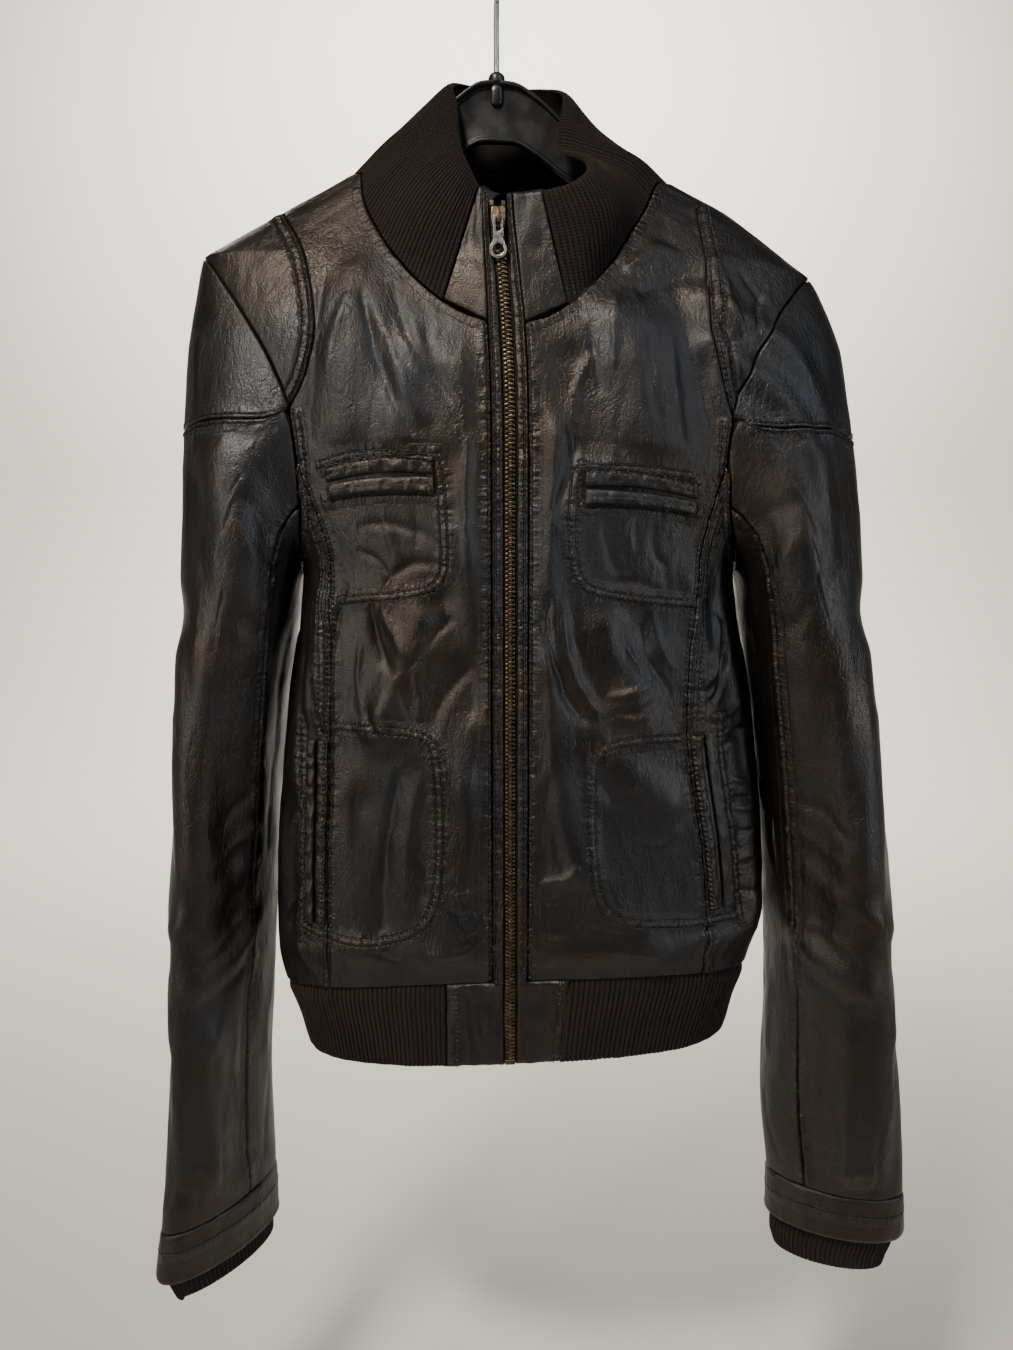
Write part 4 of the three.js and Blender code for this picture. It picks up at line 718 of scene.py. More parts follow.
def leather_material():
    m = Shader("leather", Coat_Weight=0.04, Coat_Roughness=0.35)
    m.surface.inputs["Specular IOR Level"].default_value = 0.5
    here = m.place()
    clouds = m.noise(here, 9.0, 4.0)
    blotches = m.noise(here, 34.0, 5.0, 0.6)
    wear = m.attribute("wear").outputs["Fac"]
    sewn = m.attribute("sewn")
    parts = m.add("SeparateXYZ", {"Vector": sewn.outputs["Vector"]})
    along, across, strength = parts.outputs
    base = m.blend(m.span(clouds, 0.35, 0.7), (0.0026, 0.0022, 0.0021), (0.0068, 0.0049, 0.0042))
    worn = m.math("MULTIPLY", m.span(wear, 0.42, 0.95), m.span(blotches, 0.42, 0.68), True)
    base = m.blend(m.math("MULTIPLY", worn, 0.6), base, (0.06, 0.036, 0.022))
    # Lighter brown beside the sewing: partly rub wear, partly a painted highlight on the puckers
    seam_rub_and_highlight = m.math("MULTIPLY", strength, m.span(m.noise(here, 160.0, 3.0), 0.5, 0.75), True)
    base = m.blend(m.math("MULTIPLY", seam_rub_and_highlight, 0.5), base, (0.05, 0.033, 0.022))
    m.use("Base Color", base)
    # The finish has yellowed in places and kept its cold sheen in others
    tone = m.span(m.noise(here, 11.0, 4.0, 0.5, 0.4), 0.34, 0.66)
    m.use("Specular Tint", m.blend(tone, (1.0, 0.87, 0.74), (0.87, 0.93, 1.0)))
    gloss = m.span(m.noise(here, 22.0, 4.0), 0.3, 0.75, 0.37, 0.54)
    m.use("Roughness", m.math("SUBTRACT", gloss, m.math("MULTIPLY", worn, 0.05)))
    # Grain, fine creases down the hide, and the gathers beside the sewing
    cells = m.add("TexVoronoi", {"Vector": here, "Scale": 1150.0}, feature="F1").outputs["Distance"]
    pebble = m.noise(here, 700.0, 3.0, 0.6)
    tall = m.place((1.0, 1.0, 0.42))
    creases = m.noise(tall, 150.0, 5.0, 0.62, 0.6)
    slack = m.noise(tall, 52.0, 3.0, 0.5, 0.4)
    channel = m.add("CombineXYZ", {"X": m.math("MULTIPLY", along, 0.27), "Y": m.math("MULTIPLY", across, 0.07)})
    gathers = m.noise(channel.outputs["Vector"], 1.0, 2.0, 0.6)
    gathers = m.math("MULTIPLY", gathers, strength)
    # Rows of stitches pull a groove
    rows = m.add("SeparateXYZ", {"Vector": m.attribute("rows").outputs["Vector"]})
    aside = m.math("ABSOLUTE", m.math("SUBTRACT", across, rows.outputs[0]))
    aside = m.math("ABSOLUTE", m.math("SUBTRACT", aside, rows.outputs[1]))
    groove = m.math("MULTIPLY", m.span(aside, 0.25, 0.95), m.span(strength, 0.5, 0.75))
    groove = m.math("SUBTRACT", groove, m.span(strength, 0.5, 0.75))
    holes = m.math("SINE", m.math("MULTIPLY", along, 2 * math.pi / STITCH))
    groove = m.math("MULTIPLY", groove, m.math("ADD", m.math("MULTIPLY", holes, 0.45), 0.7))
    groove = m.math("MULTIPLY", groove, rows.outputs[2])
    # Crackled patches where the hide has been folded often
    cracks = m.add("TexVoronoi", {"Vector": m.warped(tall, 130.0, 0.006), "Scale": 250.0}, feature="DISTANCE_TO_EDGE")
    cracks = m.span(cracks.outputs["Distance"], 0.0, 0.16)
    cracks = m.math("MULTIPLY", cracks, m.span(m.noise(here, 14.0, 3.0), 0.45, 0.62))
    m.relief((gathers, 0.0024, 0.85), (groove, 0.0010, 0.95), (slack, 0.0022, 0.5), (creases, 0.0011, 0.7),
             (cracks, 0.0004, 0.34), (pebble, 0.00040, 0.66), (cells, 0.00022, 0.65))


def knit_material():
    m = Shader("knit", Roughness=0.92, Sheen_Weight=0.10, Sheen_Roughness=0.45)
    m.surface.inputs["Sheen Tint"].default_value = (0.42, 0.3, 0.24, 1)
    m.surface.inputs["Specular IOR Level"].default_value = 0.25
    here = m.place()
    loop = m.add("SeparateXYZ", {"Vector": m.attribute("loops").outputs["Vector"]})
    across, along, valley_shade = loop.outputs
    # Each rib is a column of V-shaped loops
    half = m.math("ABSOLUTE", m.math("SUBTRACT", m.math("FRACT", across), 0.5))
    phase = m.math("ADD", along, m.math("MULTIPLY", half, 1.3))
    loops = m.math("ABSOLUTE", m.math("SINE", m.math("MULTIPLY", phase, math.pi)))
    fuzz = m.noise(here, 900.0, 4.0, 0.7)
    patches = m.noise(here, 18.0, 3.0)
    colour = m.blend(m.span(patches, 0.3, 0.75), (0.0085, 0.0058, 0.0049), (0.0150, 0.0102, 0.0082))
    colour = m.blend(m.math("MULTIPLY", m.span(fuzz, 0.45, 0.8), 0.45), colour, (0.034, 0.024, 0.0195))
    # Painted shade: the colour is darkened in the valleys between the ribs
    colour = m.blend(m.math("MULTIPLY", valley_shade, 0.95), colour, (0.0012, 0.0009, 0.0008))
    m.use("Base Color", colour)
    m.relief((loops, 0.00045, 0.75), (fuzz, 0.0003, 0.7))


def thread_material():
    m = Shader("thread", Roughness=0.62)
    here = m.place()
    twist = m.noise(here, 1500.0, 2.0)
    m.use("Base Color", m.blend(m.span(m.noise(here, 60.0, 2.0), 0.4, 0.7), (0.004, 0.0035, 0.0033),
                                (0.012, 0.009, 0.0075)))
    m.relief((twist, 0.0001, 0.6))


def tape_material():
    m = Shader("tape", Roughness=0.85)
    here = m.place((1, 1, 1))
    weave = m.add("TexWave", {"Vector": here, "Scale": 420.0, "Distortion": 0.4}, bands_direction="DIAGONAL")
    m.use("Base Color", m.blend(weave.outputs["Fac"], (0.006, 0.005, 0.0045), (0.016, 0.012, 0.010)))
    m.relief((weave.outputs["Fac"], 0.0002, 0.6))


def metal_material(name, dark, light, rough, scale=260.0, bumpy=0.00006):
    m = Shader(name, Metallic=1.0, Roughness=rough)
    here = m.place()
    tarnish = m.noise(here, scale, 4.0, 0.6)
    scratches = m.noise(m.place((1, 1, 0.12)), 2600.0, 2.0)
    m.use("Base Color", m.blend(m.span(tarnish, 0.35, 0.7), dark, light))
    m.use("Roughness", m.span(tarnish, 0.3, 0.75, rough + 0.12, rough - 0.04))
    m.relief((scratches, bumpy, 0.5))


def plastic_material():
    m = Shader("plastic", Roughness=0.34)
    here = m.place()
    m.use("Base Color", m.blend(m.noise(here, 40.0, 3.0), (0.007, 0.0072, 0.008), (0.013, 0.013, 0.014)))
    m.use("Roughness", m.span(m.noise(here, 70.0, 4.0), 0.3, 0.7, 0.27, 0.42))
    m.relief((m.noise(here, 1400.0, 2.0), 0.00006, 0.5))


def stage_material():
    m = Shader("backdrop", Roughness=0.9)
    here = m.place()
    m.use("Base Color", m.blend(m.noise(here, 3.0, 3.0), (0.62, 0.60, 0.57), (0.65, 0.63, 0.60)))
    m.relief((m.noise(here, 220.0, 3.0), 0.0003, 0.3))


leather_material()
knit_material()
thread_material()
tape_material()
metal_material("brass", (0.06, 0.04, 0.025), (0.20, 0.145, 0.09), 0.38)
metal_material("slider", (0.10, 0.07, 0.045), (0.33, 0.25, 0.17), 0.33)
metal_material("wire", (0.42, 0.42, 0.43), (0.66, 0.66, 0.68), 0.28)
metal_material("steel", (0.66, 0.66, 0.67), (0.86, 0.86, 0.88), 0.24)
plastic_material()
stage_material()


# Seam lines on the body, as in the part
neck_x = Curve((NECK_Z, PANEL_IN), (-228.5, 23), (-220, 37), (-211, 48), (-201, 57), (-187, 68), (-172, 77),
               (-155, 86), (-140, 90.5), (-135, 92))
shoulder_seam_x = {
    -1: Curve((-163, 139), (-172, 132), (-181, 125.5), (-197, 119), (-235, 113.5), (-262, 119), (-284, 131)),
    1: Curve((-155, 117), (-193, 121), (-233, 120), (-262, 126), (-284, 131)),
}
princess_x = {
    -1: Curve((-313, 129), (-339, 121), (-370, 113), (-465, 115), (-560, 119), (-640, 121)),
    1: Curve((-313, 128), (-339, 118), (-370, 110), (-465, 104), (-560, 116), (-640, 124)),
}
arm_front_x = Curve((TIP_Z, 189.5), (-194.6, 184), (-208, 173), (-228.7, 158), (-255, 142), (-284, 131), (-313, 129),
                    (-339, 130), (-360, 133.5), (-373.4, 137), (UNDERARM_Z, 139))
arm_back_x = Curve((TIP_Z, 189.5), (-194.6, 186), (-208, 178), (-228.7, 167), (-255, 156), (-284, 149), (-313, 145),
                   (-339, 142), (-360, 140), (-373.4, 139), (UNDERARM_Z, 139))
ARM_MID = (TIP_Z + UNDERARM_Z) / 2
ARM_ROWS = [ARM_MID + (TIP_Z - ARM_MID) * math.cos(2 * math.pi * j / ARM_POINTS) for j in range(11)]
LOW_ROWS = [-394, -412, -432, -454, -476, -498, -520, -542, -564, -586, -604, -618, HIP_Z]
TOP_ROWS = [-135, -140, -147, -155, -163, -172, -181]
NECK_ROWS = [-135, -140, -147, -155, -163, -172, -187, ARM_ROWS[1], ARM_ROWS[2], -220, ARM_ROWS[3], NECK_Z]
MEET, SPLIT = 5, 6


def arm_front(z):
    z = np.asarray(z, float)
    return np.where((z >= TIP_Z - 0.01) | (z <= UNDERARM_Z + 0.01), 1, step_at_x(arm_front_x(z), z))


def arm_back(z):
    z = np.asarray(z, float)
    inner = 2 - step_at_x(np.minimum(arm_back_x(z), half_width(z) - 0.001), z, BACK)
    return np.where((z >= TIP_Z - 0.01) | (z <= UNDERARM_Z + 0.01), 1, inner)


def out_edge(s, z):
    """The front panel's outer edge: shoulder seam, panel seam, armhole, then the seam of the side panel."""
    top = -163 if s < 0 else -155
    if z > top + 0.01:
        return 1.0
    if z > ARM_ROWS[MEET] + 0.01:
        return float(step_at_x(shoulder_seam_x[s](z), z))
    if z > ARM_ROWS[SPLIT] + 0.01:
        return float(arm_front(z))
    return float(step_at_x(princess_x[s](z), z))


def through(rows, values):
    return Curve(*zip(rows, values))


def hip_drop(a):
    u = np.abs(a)
    return 15 * np.minimum(1, u) ** 2 * np.where(u > 1, mix(1, 0.6, u - 1), 1)


def panel(name, s, rows, first, last, count, cols, **keys):
    """A body panel between two edges given as curves by level."""
    z = mix(rows[0], rows[-1], even(count))[:, None]
    inset = SEAM / 2 / quarter_length(z)
    u = even(cols)[None, :]
    a = mix(first(z) + inset, last(z) - inset, u)
    low = clamp((-586 - z) / (-586 - HIP_Z))
    return leather_sheet(body, name, s * a, z - hip_drop(a) * low, replaces=[keys.pop("node")], **keys)

# Sewing on the body
for s in SIDES:
    z = np.linspace(-163 if s < 0 else -155, -284, 60)
    body.sew(*resample(s * step_at_x(shoulder_seam_x[s](z), z), z, 2.0, body),
             rows=(2.0, 7.5) if s > 0 else (-2.0, -7.5), gully=0.3, swell=0.5, pucker=0.3)
    z = np.linspace(-318, HIP_Z - 12, 120)
    body.sew(*resample(s * step_at_x(princess_x[s](z), z), z, 2.0, body),
             rows=(-2.4, 2.4), gully=0.5, swell=0.5, pucker=0.42)
    z = np.linspace(-330, -470, 60)
    body.sew(*resample(s * step_at_x(princess_x[s](z) + 6.6, z), z, 2.0, body), rows=(0,), swell=0.2, pucker=0.3, reach=5)
    z = np.linspace(-236, HIP_Z + 2, 150)
    body.sew(*resample(s * step_at_x(PANEL_IN + 0 * z, z), z, 2.0, body),
             rows=(1.6,) if s > 0 else (-1.6,), gully=0.0, swell=0.2, pucker=0.34, reach=8)
    z = -np.array([233, 228, 222, 214, 205, 195, 182, 168, 152, 142.0])
    body.sew(*resample(s * step_at_x(neck_x(z), z), z, 2.0, body),
             gully=0.2, swell=0.2, pucker=0.12, reach=6)
    z = np.linspace(-290, -372, 60)
    body.sew(*resample(s * arm_front(z), z, 2.0, body),
             rows=(2.0, 6.5) if s < 0 else (-2.0, -6.5), swell=0.4, pucker=0.35)

right_chest = body.sew(*on_front(-1, (112, -313), (98, -309), (75, -307), (43, -309), (39, -320), (37, -358),
                                 (38, -379), (45, -389), (68, -393), (104, -396)),
                       rows=(0, -4.6), swell=0.45, pucker=0.36)
left_chest = body.sew(*on_front(1, (104, -317), (75, -314), (37, -313), (35, -323), (33, -352), (35, -377),
                                (43, -390), (74, -396), (103, -399)),
                      rows=(0, 4.6), swell=0.45, pucker=0.36)
right_bag = body.sew(*on_front(-1, (112, -472), (86, -472), (60, -474), (49, -479), (47, -492), (46, -538),
                               (49, -576), (57, -592), (72, -600), (92, -603), (118, -600), (140, -595)),
                     rows=(0, 4.8), swell=0.4, pucker=0.34)
left_bag = body.sew(*on_front(1, (112, -478), (75, -477), (54, -480), (46, -492), (45, -533), (48, -571),
                              (55, -590), (68, -598), (109, -604), (136, -604)),
                    rows=(0, 4.8), swell=0.4, pucker=0.3)
for s in SIDES:
    z = np.linspace(-470, -604, 60)
    at = princess_x[s](z) + (8.5 if s < 0 else 10)
    body.sew(*resample(s * step_at_x(at + 12.5, z), z, 2.0, body), rows=(0, 4.2) if s < 0 else (0, -4.2),
             swell=0.35, pucker=0.5)


CHEST = {-1: (45, 110, -321.8, -326.2), 1: (43, 108, -327.8, -334)}
BOW, SLIT, PARTING = 2.2, 0.6, 0.9
WELTS = (("upper", lambda t: 11 * (1 - 0.25 * t), lambda t: SLIT + PARTING * np.sin(np.pi * t)),
         ("lower", lambda t: -SLIT - 0.4 * PARTING * np.sin(np.pi * t), lambda t: -9.5 * (1 - 0.1 * t)))


def welt_middle(s, t):
    z_in, z_out = CHEST[s][2:]
    return mix(z_in, z_out, t) + BOW * 4 * t * (1 - t)


for s in SIDES:
    x0, x1 = CHEST[s][:2]
    t = np.linspace(0, 1, 40)
    for z in (welt_middle(s, t) + WELTS[0][1](t) + 1.5, welt_middle(s, t) + WELTS[1][2](t) - 1.5):
        body.sew(*resample(s * step_at_x(mix(x0, x1, t), z), z, 2.0, body), rows=(0,), swell=0.3, pucker=0.3, reach=5)


# Panels of the body
for s, word in SIDES.items():
    leaf_top, above = (-163, -155) if s < 0 else (-155, -147)
    rows = [*NECK_ROWS, *[z for z in ARM_ROWS if z < NECK_Z - 8], *LOW_ROWS]
    edge_rows = [z for z in rows if z > leaf_top + 0.01] + list(np.linspace(leaf_top, rows[-1], 160))
    outer_line = through(edge_rows, [out_edge(s, z) for z in edge_rows])
    inner_line = through(rows, [float(step_at_x(neck_x(z) if z > NECK_Z + 0.01 else PANEL_IN, z)) for z in rows])
    panel(f"front_leather_{word}", s, (rows[0] - 0.15, rows[-1] + 0.15), inner_line, outer_line, 384, 124,
          node=f"front_panel_{word}")

    leaf = [z for z in NECK_ROWS if z <= leaf_top + 0.01] + ARM_ROWS[4:MEET + 1]
    edge_rows = list(np.linspace(leaf_top, leaf[-1], 50))
    first = through([above, *edge_rows], [1.0, *[out_edge(s, z) for z in edge_rows]])
    last = through([above, *edge_rows], [1.0, *[float(arm_front(z)) for z in edge_rows]])
    low = mix(leaf[-2], leaf[-1], 0.88)
    panel(f"shoulder_leather_{word}", s, (mix(above, leaf_top, 0.2), low), first, last, 120, 46,
          node=f"shoulder_panel_{word}")

    side = [*ARM_ROWS[SPLIT:], *LOW_ROWS]
    starts = [float(step_at_x(princess_x[s](z), z)) for z in side]
    ends = [float(arm_front(z)) if z > UNDERARM_Z else 1.0 for z in side]
    starts[0] = ends[0] = float(arm_front(side[0]))
    panel(f"side_leather_{word}", s, (mix(side[0], side[1], 0.14), side[-1] + 0.15), through(side, starts),
          through(side, ends), 330, 58, node=f"side_panel_{word}")


def back_panel():
    rows = [*TOP_ROWS, *ARM_ROWS, *LOW_ROWS]
    edge = through(rows, [float(arm_back(z)) for z in rows])
    z = mix(rows[0] - 0.4, rows[-1] + 0.15, even(170))[:, None]
    a0 = edge(z) + SEAM / 2 / quarter_length(z)
    a = mix(a0, 4 - a0, even(150)[None, :])
    u = np.minimum(a, 4 - a)
    low = clamp((-586 - z) / (-586 - HIP_Z))
    dip = 2 * np.sin((u - 1) * np.pi / 2) * soft((z + 140) / 5)
    leather_sheet(body, "back_leather", a, z - hip_drop(u) * low - dip, replaces=["back_panel"])


back_panel()


# Sleeves, as in the part: middle across, half length and breadth of the section, and the turn of its long axis
SLEEVE = {
    -1: dict(
        x=Curve((-860, -195), (-800, -191), (-745, -189.3), (-690, -186.3), (-600, -181), (-510, -175.5),
                (-450, -170), (-400, -164.5)),
        long=Curve((-860, 49), (-800, 48), (-745, 47), (-690, 49), (-600, 54), (-510, 58), (-400, 66)),
        broad=Curve((-860, 21), (-800, 20), (-745, 19.5), (-690, 20), (-600, 22.5), (-510, 27), (-450, 31),
                    (-400, 34.5)),
        turn=Curve((-860, 38), (-800, 32), (-745, 28), (-690, 24), (-600, 18), (-510, 10), (-400, 0)),
        hem=-806, end=-841, cuff=-860, slope=0.1, shift=6, draw=2,
    ),
    1: dict(
        x=Curve((-860, 234), (-800, 232), (-745, 227.5), (-690, 224.6), (-635, 221), (-580, 216.8), (-510, 209.5),
                (-450, 202), (-400, 195)),
        long=Curve((-860, 45), (-800, 45), (-745, 47.5), (-690, 48), (-635, 51), (-580, 55), (-510, 58), (-400, 65)),
        broad=Curve((-860, 23), (-800, 24), (-745, 26), (-690, 26), (-635, 28.5), (-580, 31), (-510, 34.5),
                    (-400, 36.5)),
        turn=Curve((-860, -74), (-800, -70), (-745, -60), (-690, -45), (-635, -28), (-580, -20), (-510, -10),
                   (-400, 0)),
        hem=-793, end=-824, cuff=-853, slope=0.03, shift=-4, draw=2.5,
    ),
}
sleeve_y = Curve((-860, -20), (-717, -18), (-600, -14), (-510, -10), (-400, -4))
RING_LEVELS = np.arange(-868.0, -397.0, 2.0)
RING_FINE = 240


def ring_rows(s, levels, grow=0.0):
    """Rings of a sleeve from its outer line by the front, equally spaced along the girth, a row to each level."""
    shape = SLEEVE[s]
    t = np.linspace(0, 2 * np.pi, 1441)
    rows = []
    for z, g in zip(levels, np.broadcast_to(grow, np.shape(levels))):
        long, broad = shape["long"](z) + g, shape["broad"](z) + g
        turn = math.radians(float(shape["turn"](z)))
        first = math.atan2(-s * math.sin(turn) * long, math.cos(turn) * broad)
        w = t + first
        ex, ey = broad * np.cos(w), -long * np.sin(w)
        x = s * math.cos(turn) * ex + math.sin(turn) * ey
        y = -s * math.sin(turn) * ex + math.cos(turn) * ey
        run = np.concatenate([[0], np.hypot(np.diff(x), np.diff(y)).cumsum()])
        want = np.linspace(0, run[-1], RING_FINE + 1)
        x, y = np.interp(want, run, x), np.interp(want, run, y)
        aside = shape["shift"] * clamp((shape["end"] + 4 - z) / 20)
        rise = shape["slope"] * s * -x * clamp((-z - 600) / 200)
        rows.append(stack(shape["x"](z) + x + aside, sleeve_y(z) + y, z + rise + LEVEL))
    return np.array(rows)


RINGS = {s: ring_rows(s, RING_LEVELS) for s in SIDES}


def sleeve_ring(s, k, z):
    table = RINGS[s]
    i = np.clip((z - RING_LEVELS[0]) / 2, 0, len(RING_LEVELS) - 1.001)
    j = (np.asarray(k, float) / ARM_POINTS % 1) * RING_FINE
    i0, j0 = i.astype(int), np.minimum(j.astype(int), RING_FINE - 1)
    s1, t1 = (i - i0)[..., None], (j - j0)[..., None]
    return mix(mix(table[i0, j0], table[i0, j0 + 1], t1), mix(table[i0 + 1, j0], table[i0 + 1, j0 + 1], t1), s1)


def arm_loop(s, k):
    z = ARM_MID + (TIP_Z - ARM_MID) * np.cos(2 * np.pi * k / ARM_POINTS)
    return s * np.where(k % ARM_POINTS <= ARM_POINTS / 2, arm_front(z), arm_back(z)), z


def sleeve_smooth(s):
    def points(k, t):
        k, t = np.broadcast_arrays(np.asarray(k, float), np.asarray(t, float))
        a, z = arm_loop(s, k)
        p, _, _, n = body_frame(a, z)
        start = p + n * (body_height(a, z) + 0.3)[..., None]
        start[..., 0] += s * 0.3
        end = sleeve_ring(s, k, np.full(k.shape, BICEP))
        bend = stack(mix(end[..., 0], start[..., 0], 0.25), mix(end[..., 1], start[..., 1], 0.35),
                     start[..., 2] - 0.15 * (start[..., 2] - end[..., 2]))
        w, v = (1 - t)[..., None], t[..., None]
        upper = start * w * w + bend * 2 * w * v + end * v * v
        return np.where(v <= 1, upper, sleeve_ring(s, k, BICEP - (np.maximum(t, 1) - 1) * 100))

    return points


SLEEVE_FOLDS = [
    # Step round the sleeve, level, step, level, half width, height
    (1, -220, 2, -380, 16, 3), (4, -310, 7, -400, 12, 3), (3, -330, 5, -420, 12, -2.5), (-2, -240, -4, -380, 16, 3),
    (2.5, -430, 3.5, -560, 16, 4), (5, -450, 5.5, -600, 16, -3.5), (7, -430, 8, -560, 14, 3),
    (0, -450, 0.5, -590, 14, 2.5), (2, -600, 6, -570, 10, 3), (3, -640, 8, -610, 10, 3), (4, -680, 4.5, -790, 13, 3.5),
    (7, -660, 6.5, -780, 13, -3), (1, -690, 1.5, -780, 12, -2.5), (-3, -430, -4, -600, 16, 3.5),
    (-6, -420, -6, -580, 15, -3), (-4, -640, -5, -780, 13, 3), (-2, -610, -7, -590, 10, 3), (-8, -470, -8, -640, 14, 2.5),
]
SLEEVE_CREASES = [
    (2, -240, 2.8, -300, 5, 1.0), (4.2, -250, 4.8, -300, 5, -1.0), (0.8, -300, 0.6, -420, 6, -1.0),
    (4.6, -330, 6.5, -352, 4, -1.2), (5, -352, 7, -380, 4, 1.2), (4.2, -380, 6.4, -410, 5, -1.2),
    (3.4, -420, 3.9, -520, 6, -1.1), (2.2, -470, 2.8, -600, 6, 1.0), (4.5, -540, 6.4, -520, 4, -1.1),
    (4.4, -560, 7, -540, 4, 1.1), (3.2, -596, 6.6, -574, 5, -1.2), (3.0, -622, 6, -604, 4, 1.1),
    (3.4, -650, 5.8, -640, 4, -1.0), (1.0, -640, 1.8, -740, 6, 1.0), (4.2, -690, 5, -780, 5, -1.2),
    (5.8, -680, 6.2, -770, 5, 1.0), (2.4, -740, 3.2, -792, 4, -0.9), (3.2, -770, 5.2, -780, 4, 0.9),
    (2.2, -784, 4.6, -790, 3, -0.8), (5.2, -756, 7, -774, 4, -0.9),
    (-1.4, -300, -2, -420, 6, -1.0), (-3, -470, -3.8, -600, 6, -1.1), (-5, -560, -7.6, -540, 5, -1.2),
    (-4, -600, -7.5, -580, 5, 1.1), (-3.4, -640, -6.4, -624, 5, -1.1), (-5, -700, -5.6, -780, 5, 1.0),
    (-3, -760, -5, -786, 4, -0.9), (9, -420, 8.4, -560, 6, -1.1), (10, -600, 9.2, -700, 6, 1.0),
    (-9, -430, -9.4, -520, 6, 1.0), (9.4, -740, 8.6, -780, 4, -0.9),
]


def sleeve_lines(folds, q, z):
    h = np.zeros(q.shape)
    for q0, z0, q1, z1, width, top in folds:
        dq, dz = (q1 - q0) * 16, z1 - z0
        near = np.full(q.shape, 1e9)
        for turn in (0, -ARM_POINTS, ARM_POINTS):
            x = (q + turn - q0) * 16
            t = clamp((x * dq + (z - z0) * dz) / (dq * dq + dz * dz))
            near = np.minimum(near, np.hypot(x - t * dq, z - z0 - t * dz))
        h += top * bump(near, width)
    return h


def sleeve_height(s):
    def height(k, t, p):
        q = (k + ARM_POINTS / 2) % ARM_POINTS - ARM_POINTS / 2
        z = p[..., 2] - LEVEL
        inside = clamp((np.abs(np.abs(q) - ARM_POINTS / 2) - 1) / 3) * clamp((-z - 200) / 40) * clamp((z + 795) / 20)
        folds = sleeve_lines(SLEEVE_FOLDS, q, z) * inside * clamp(t * 2.5)
        wobble = z + 6 * crumple(q / 1.3, z / 21 + s)
        fine = 0.85 * sleeve_lines(SLEEVE_CREASES, q + 0.25 * ripple(z / 19, q + s), wobble)
        fine = fine + 0.4 * broad(q / 1.6 + s, z / 34) + 0.2 * crumple(q / 0.8, z / 15 + s)
        return folds + fine * clamp(t * 3) * clamp((z + 802) / 12) * clamp((-z - 196) / 12)

    return height


def sleeve_frame(s):
    smooth = sleeve_smooth(s)

    def frame(k, t):
        k, t = np.broadcast_arrays(np.asarray(k, float), np.asarray(t, float))
        p = smooth(k, t)
        pk = (smooth(k + 0.15, t) - smooth(k - 0.15, t)) / 0.3
        t0 = np.maximum(0, t - 0.02)
        pt = (smooth(k, t + 0.02) - smooth(k, t0)) / (t + 0.02 - t0)[..., None]
        return p, pk, pt, unit(np.cross(pk, pt)) * s

    return frame


sleeves = {s: Surface(sleeve_frame(s), sleeve_height(s)) for s in SIDES}


def seam_t(k):
    return 0.03 + 0.63 * np.sqrt(np.maximum(0, 1 - (k / 5) ** 2))


def down(z):
    return 1 + (BICEP - z) / 100


for s, word in SIDES.items():
    arm = sleeves[s]
    k = np.linspace(-4.9, 4.9, 90)
    arm.sew(k, seam_t(k), rows=(-3.0, 3.0), gully=0.35, swell=0.5, pucker=0.34)
    t = np.linspace(0.2, down(SLEEVE[s]["hem"]), 240)
    for at in (7, 13):
        arm.sew(np.full(t.shape, float(at)), t, gully=0.3, swell=0.2, pucker=0.22, reach=7)

    def build(name, k, tops, foots, count, node, roll):
        v = even(count)[:, None]
        leather_sheet(arm, name, k[None, :], mix(tops[None, :], foots[None, :], v), roll=roll, replaces=[node])

    inset = 0.012
    k = mix(-5 + inset, 5 - inset, even(74))
    gap = 0.2 / 60
    build(f"sleeve_cap_leather_{word}", k, 0 * k, seam_t(k) - gap * 0.35, 60, f"sleeve_cap_{word}", (1, 1, 1, 1))
    k = mix(-7 + 0.018, 7 - 0.018, even(100))
    foot = np.full(k.shape, down(SLEEVE[s]["hem"]) - 0.0015)
    top = np.where(np.abs(k) <= 5, seam_t(k) + gap * 0.35, 0)
    top = np.where(np.abs(k) <= 5, top, np.maximum(0, 0.033 * (1 - (np.abs(k) - 5) / 0.35)))
    build(f"sleeve_upper_leather_{word}", k, top, foot, 230, f"sleeve_upper_{word}", (1, 1, 1, 1))
    k = mix(7 + 0.018, 13 - 0.018, even(42))
    build(f"sleeve_under_leather_{word}", k, 0 * k, foot[:1] + 0 * k, 180, f"sleeve_under_{word}", (1, 1, 1, 1))


def place_by(rows, surface, name, replaces, out, thick, material="leather", slot="leather", **keys):
    """A shell over a surface from rows of its two numbers, with a distance out for each point."""
    u, v = rows
    p, n, height, sewn = surface.points(u, v, out)
    channels = {"sewn": sewn[..., :3], "rows": sewn[..., 3:], "wear": clamp(0.45 + 0.3 * (height - blur(height, 5)))}
    base = surface.points(u, v, thick)[0]
    return shell(name, p, base, material, channels=channels, slot=slot, replaces=replaces, **keys)


def dome(t, power=2.6):
    """0 at both ends of 0 to 1 and full between."""
    return (1 - np.abs(2 * t - 1) ** power) ** (1 / power)


# Turned hems of the sleeves and knitted cuffs
def cuff_frame(s):
    def frame(k, z):
        k, z = np.broadcast_arrays(np.asarray(k, float), np.asarray(z, float))
        p = sleeve_ring(s, k, z)
        pk = (sleeve_ring(s, k + 0.2, z) - sleeve_ring(s, k - 0.2, z)) / 0.4
        pz = (sleeve_ring(s, k, z + 1.5) - sleeve_ring(s, k, z - 1.5)) / 3
        return p, pk, pz, unit(np.cross(pk, -pz)) * s

    return frame


def cuff_height(s):
    def height(k, z, p):
        angle = 2 * np.pi * k / ARM_POINTS
        loop = [8 * np.cos(angle) + 40 * s, 8 * np.sin(angle) + 90]
        return 0.55 * broad(loop[0] / 2.2, loop[1] / 2.2 + z / 40) + 0.25 * crumple(loop[0] * 1.1, loop[1] * 1.1 + z / 12)

    return height


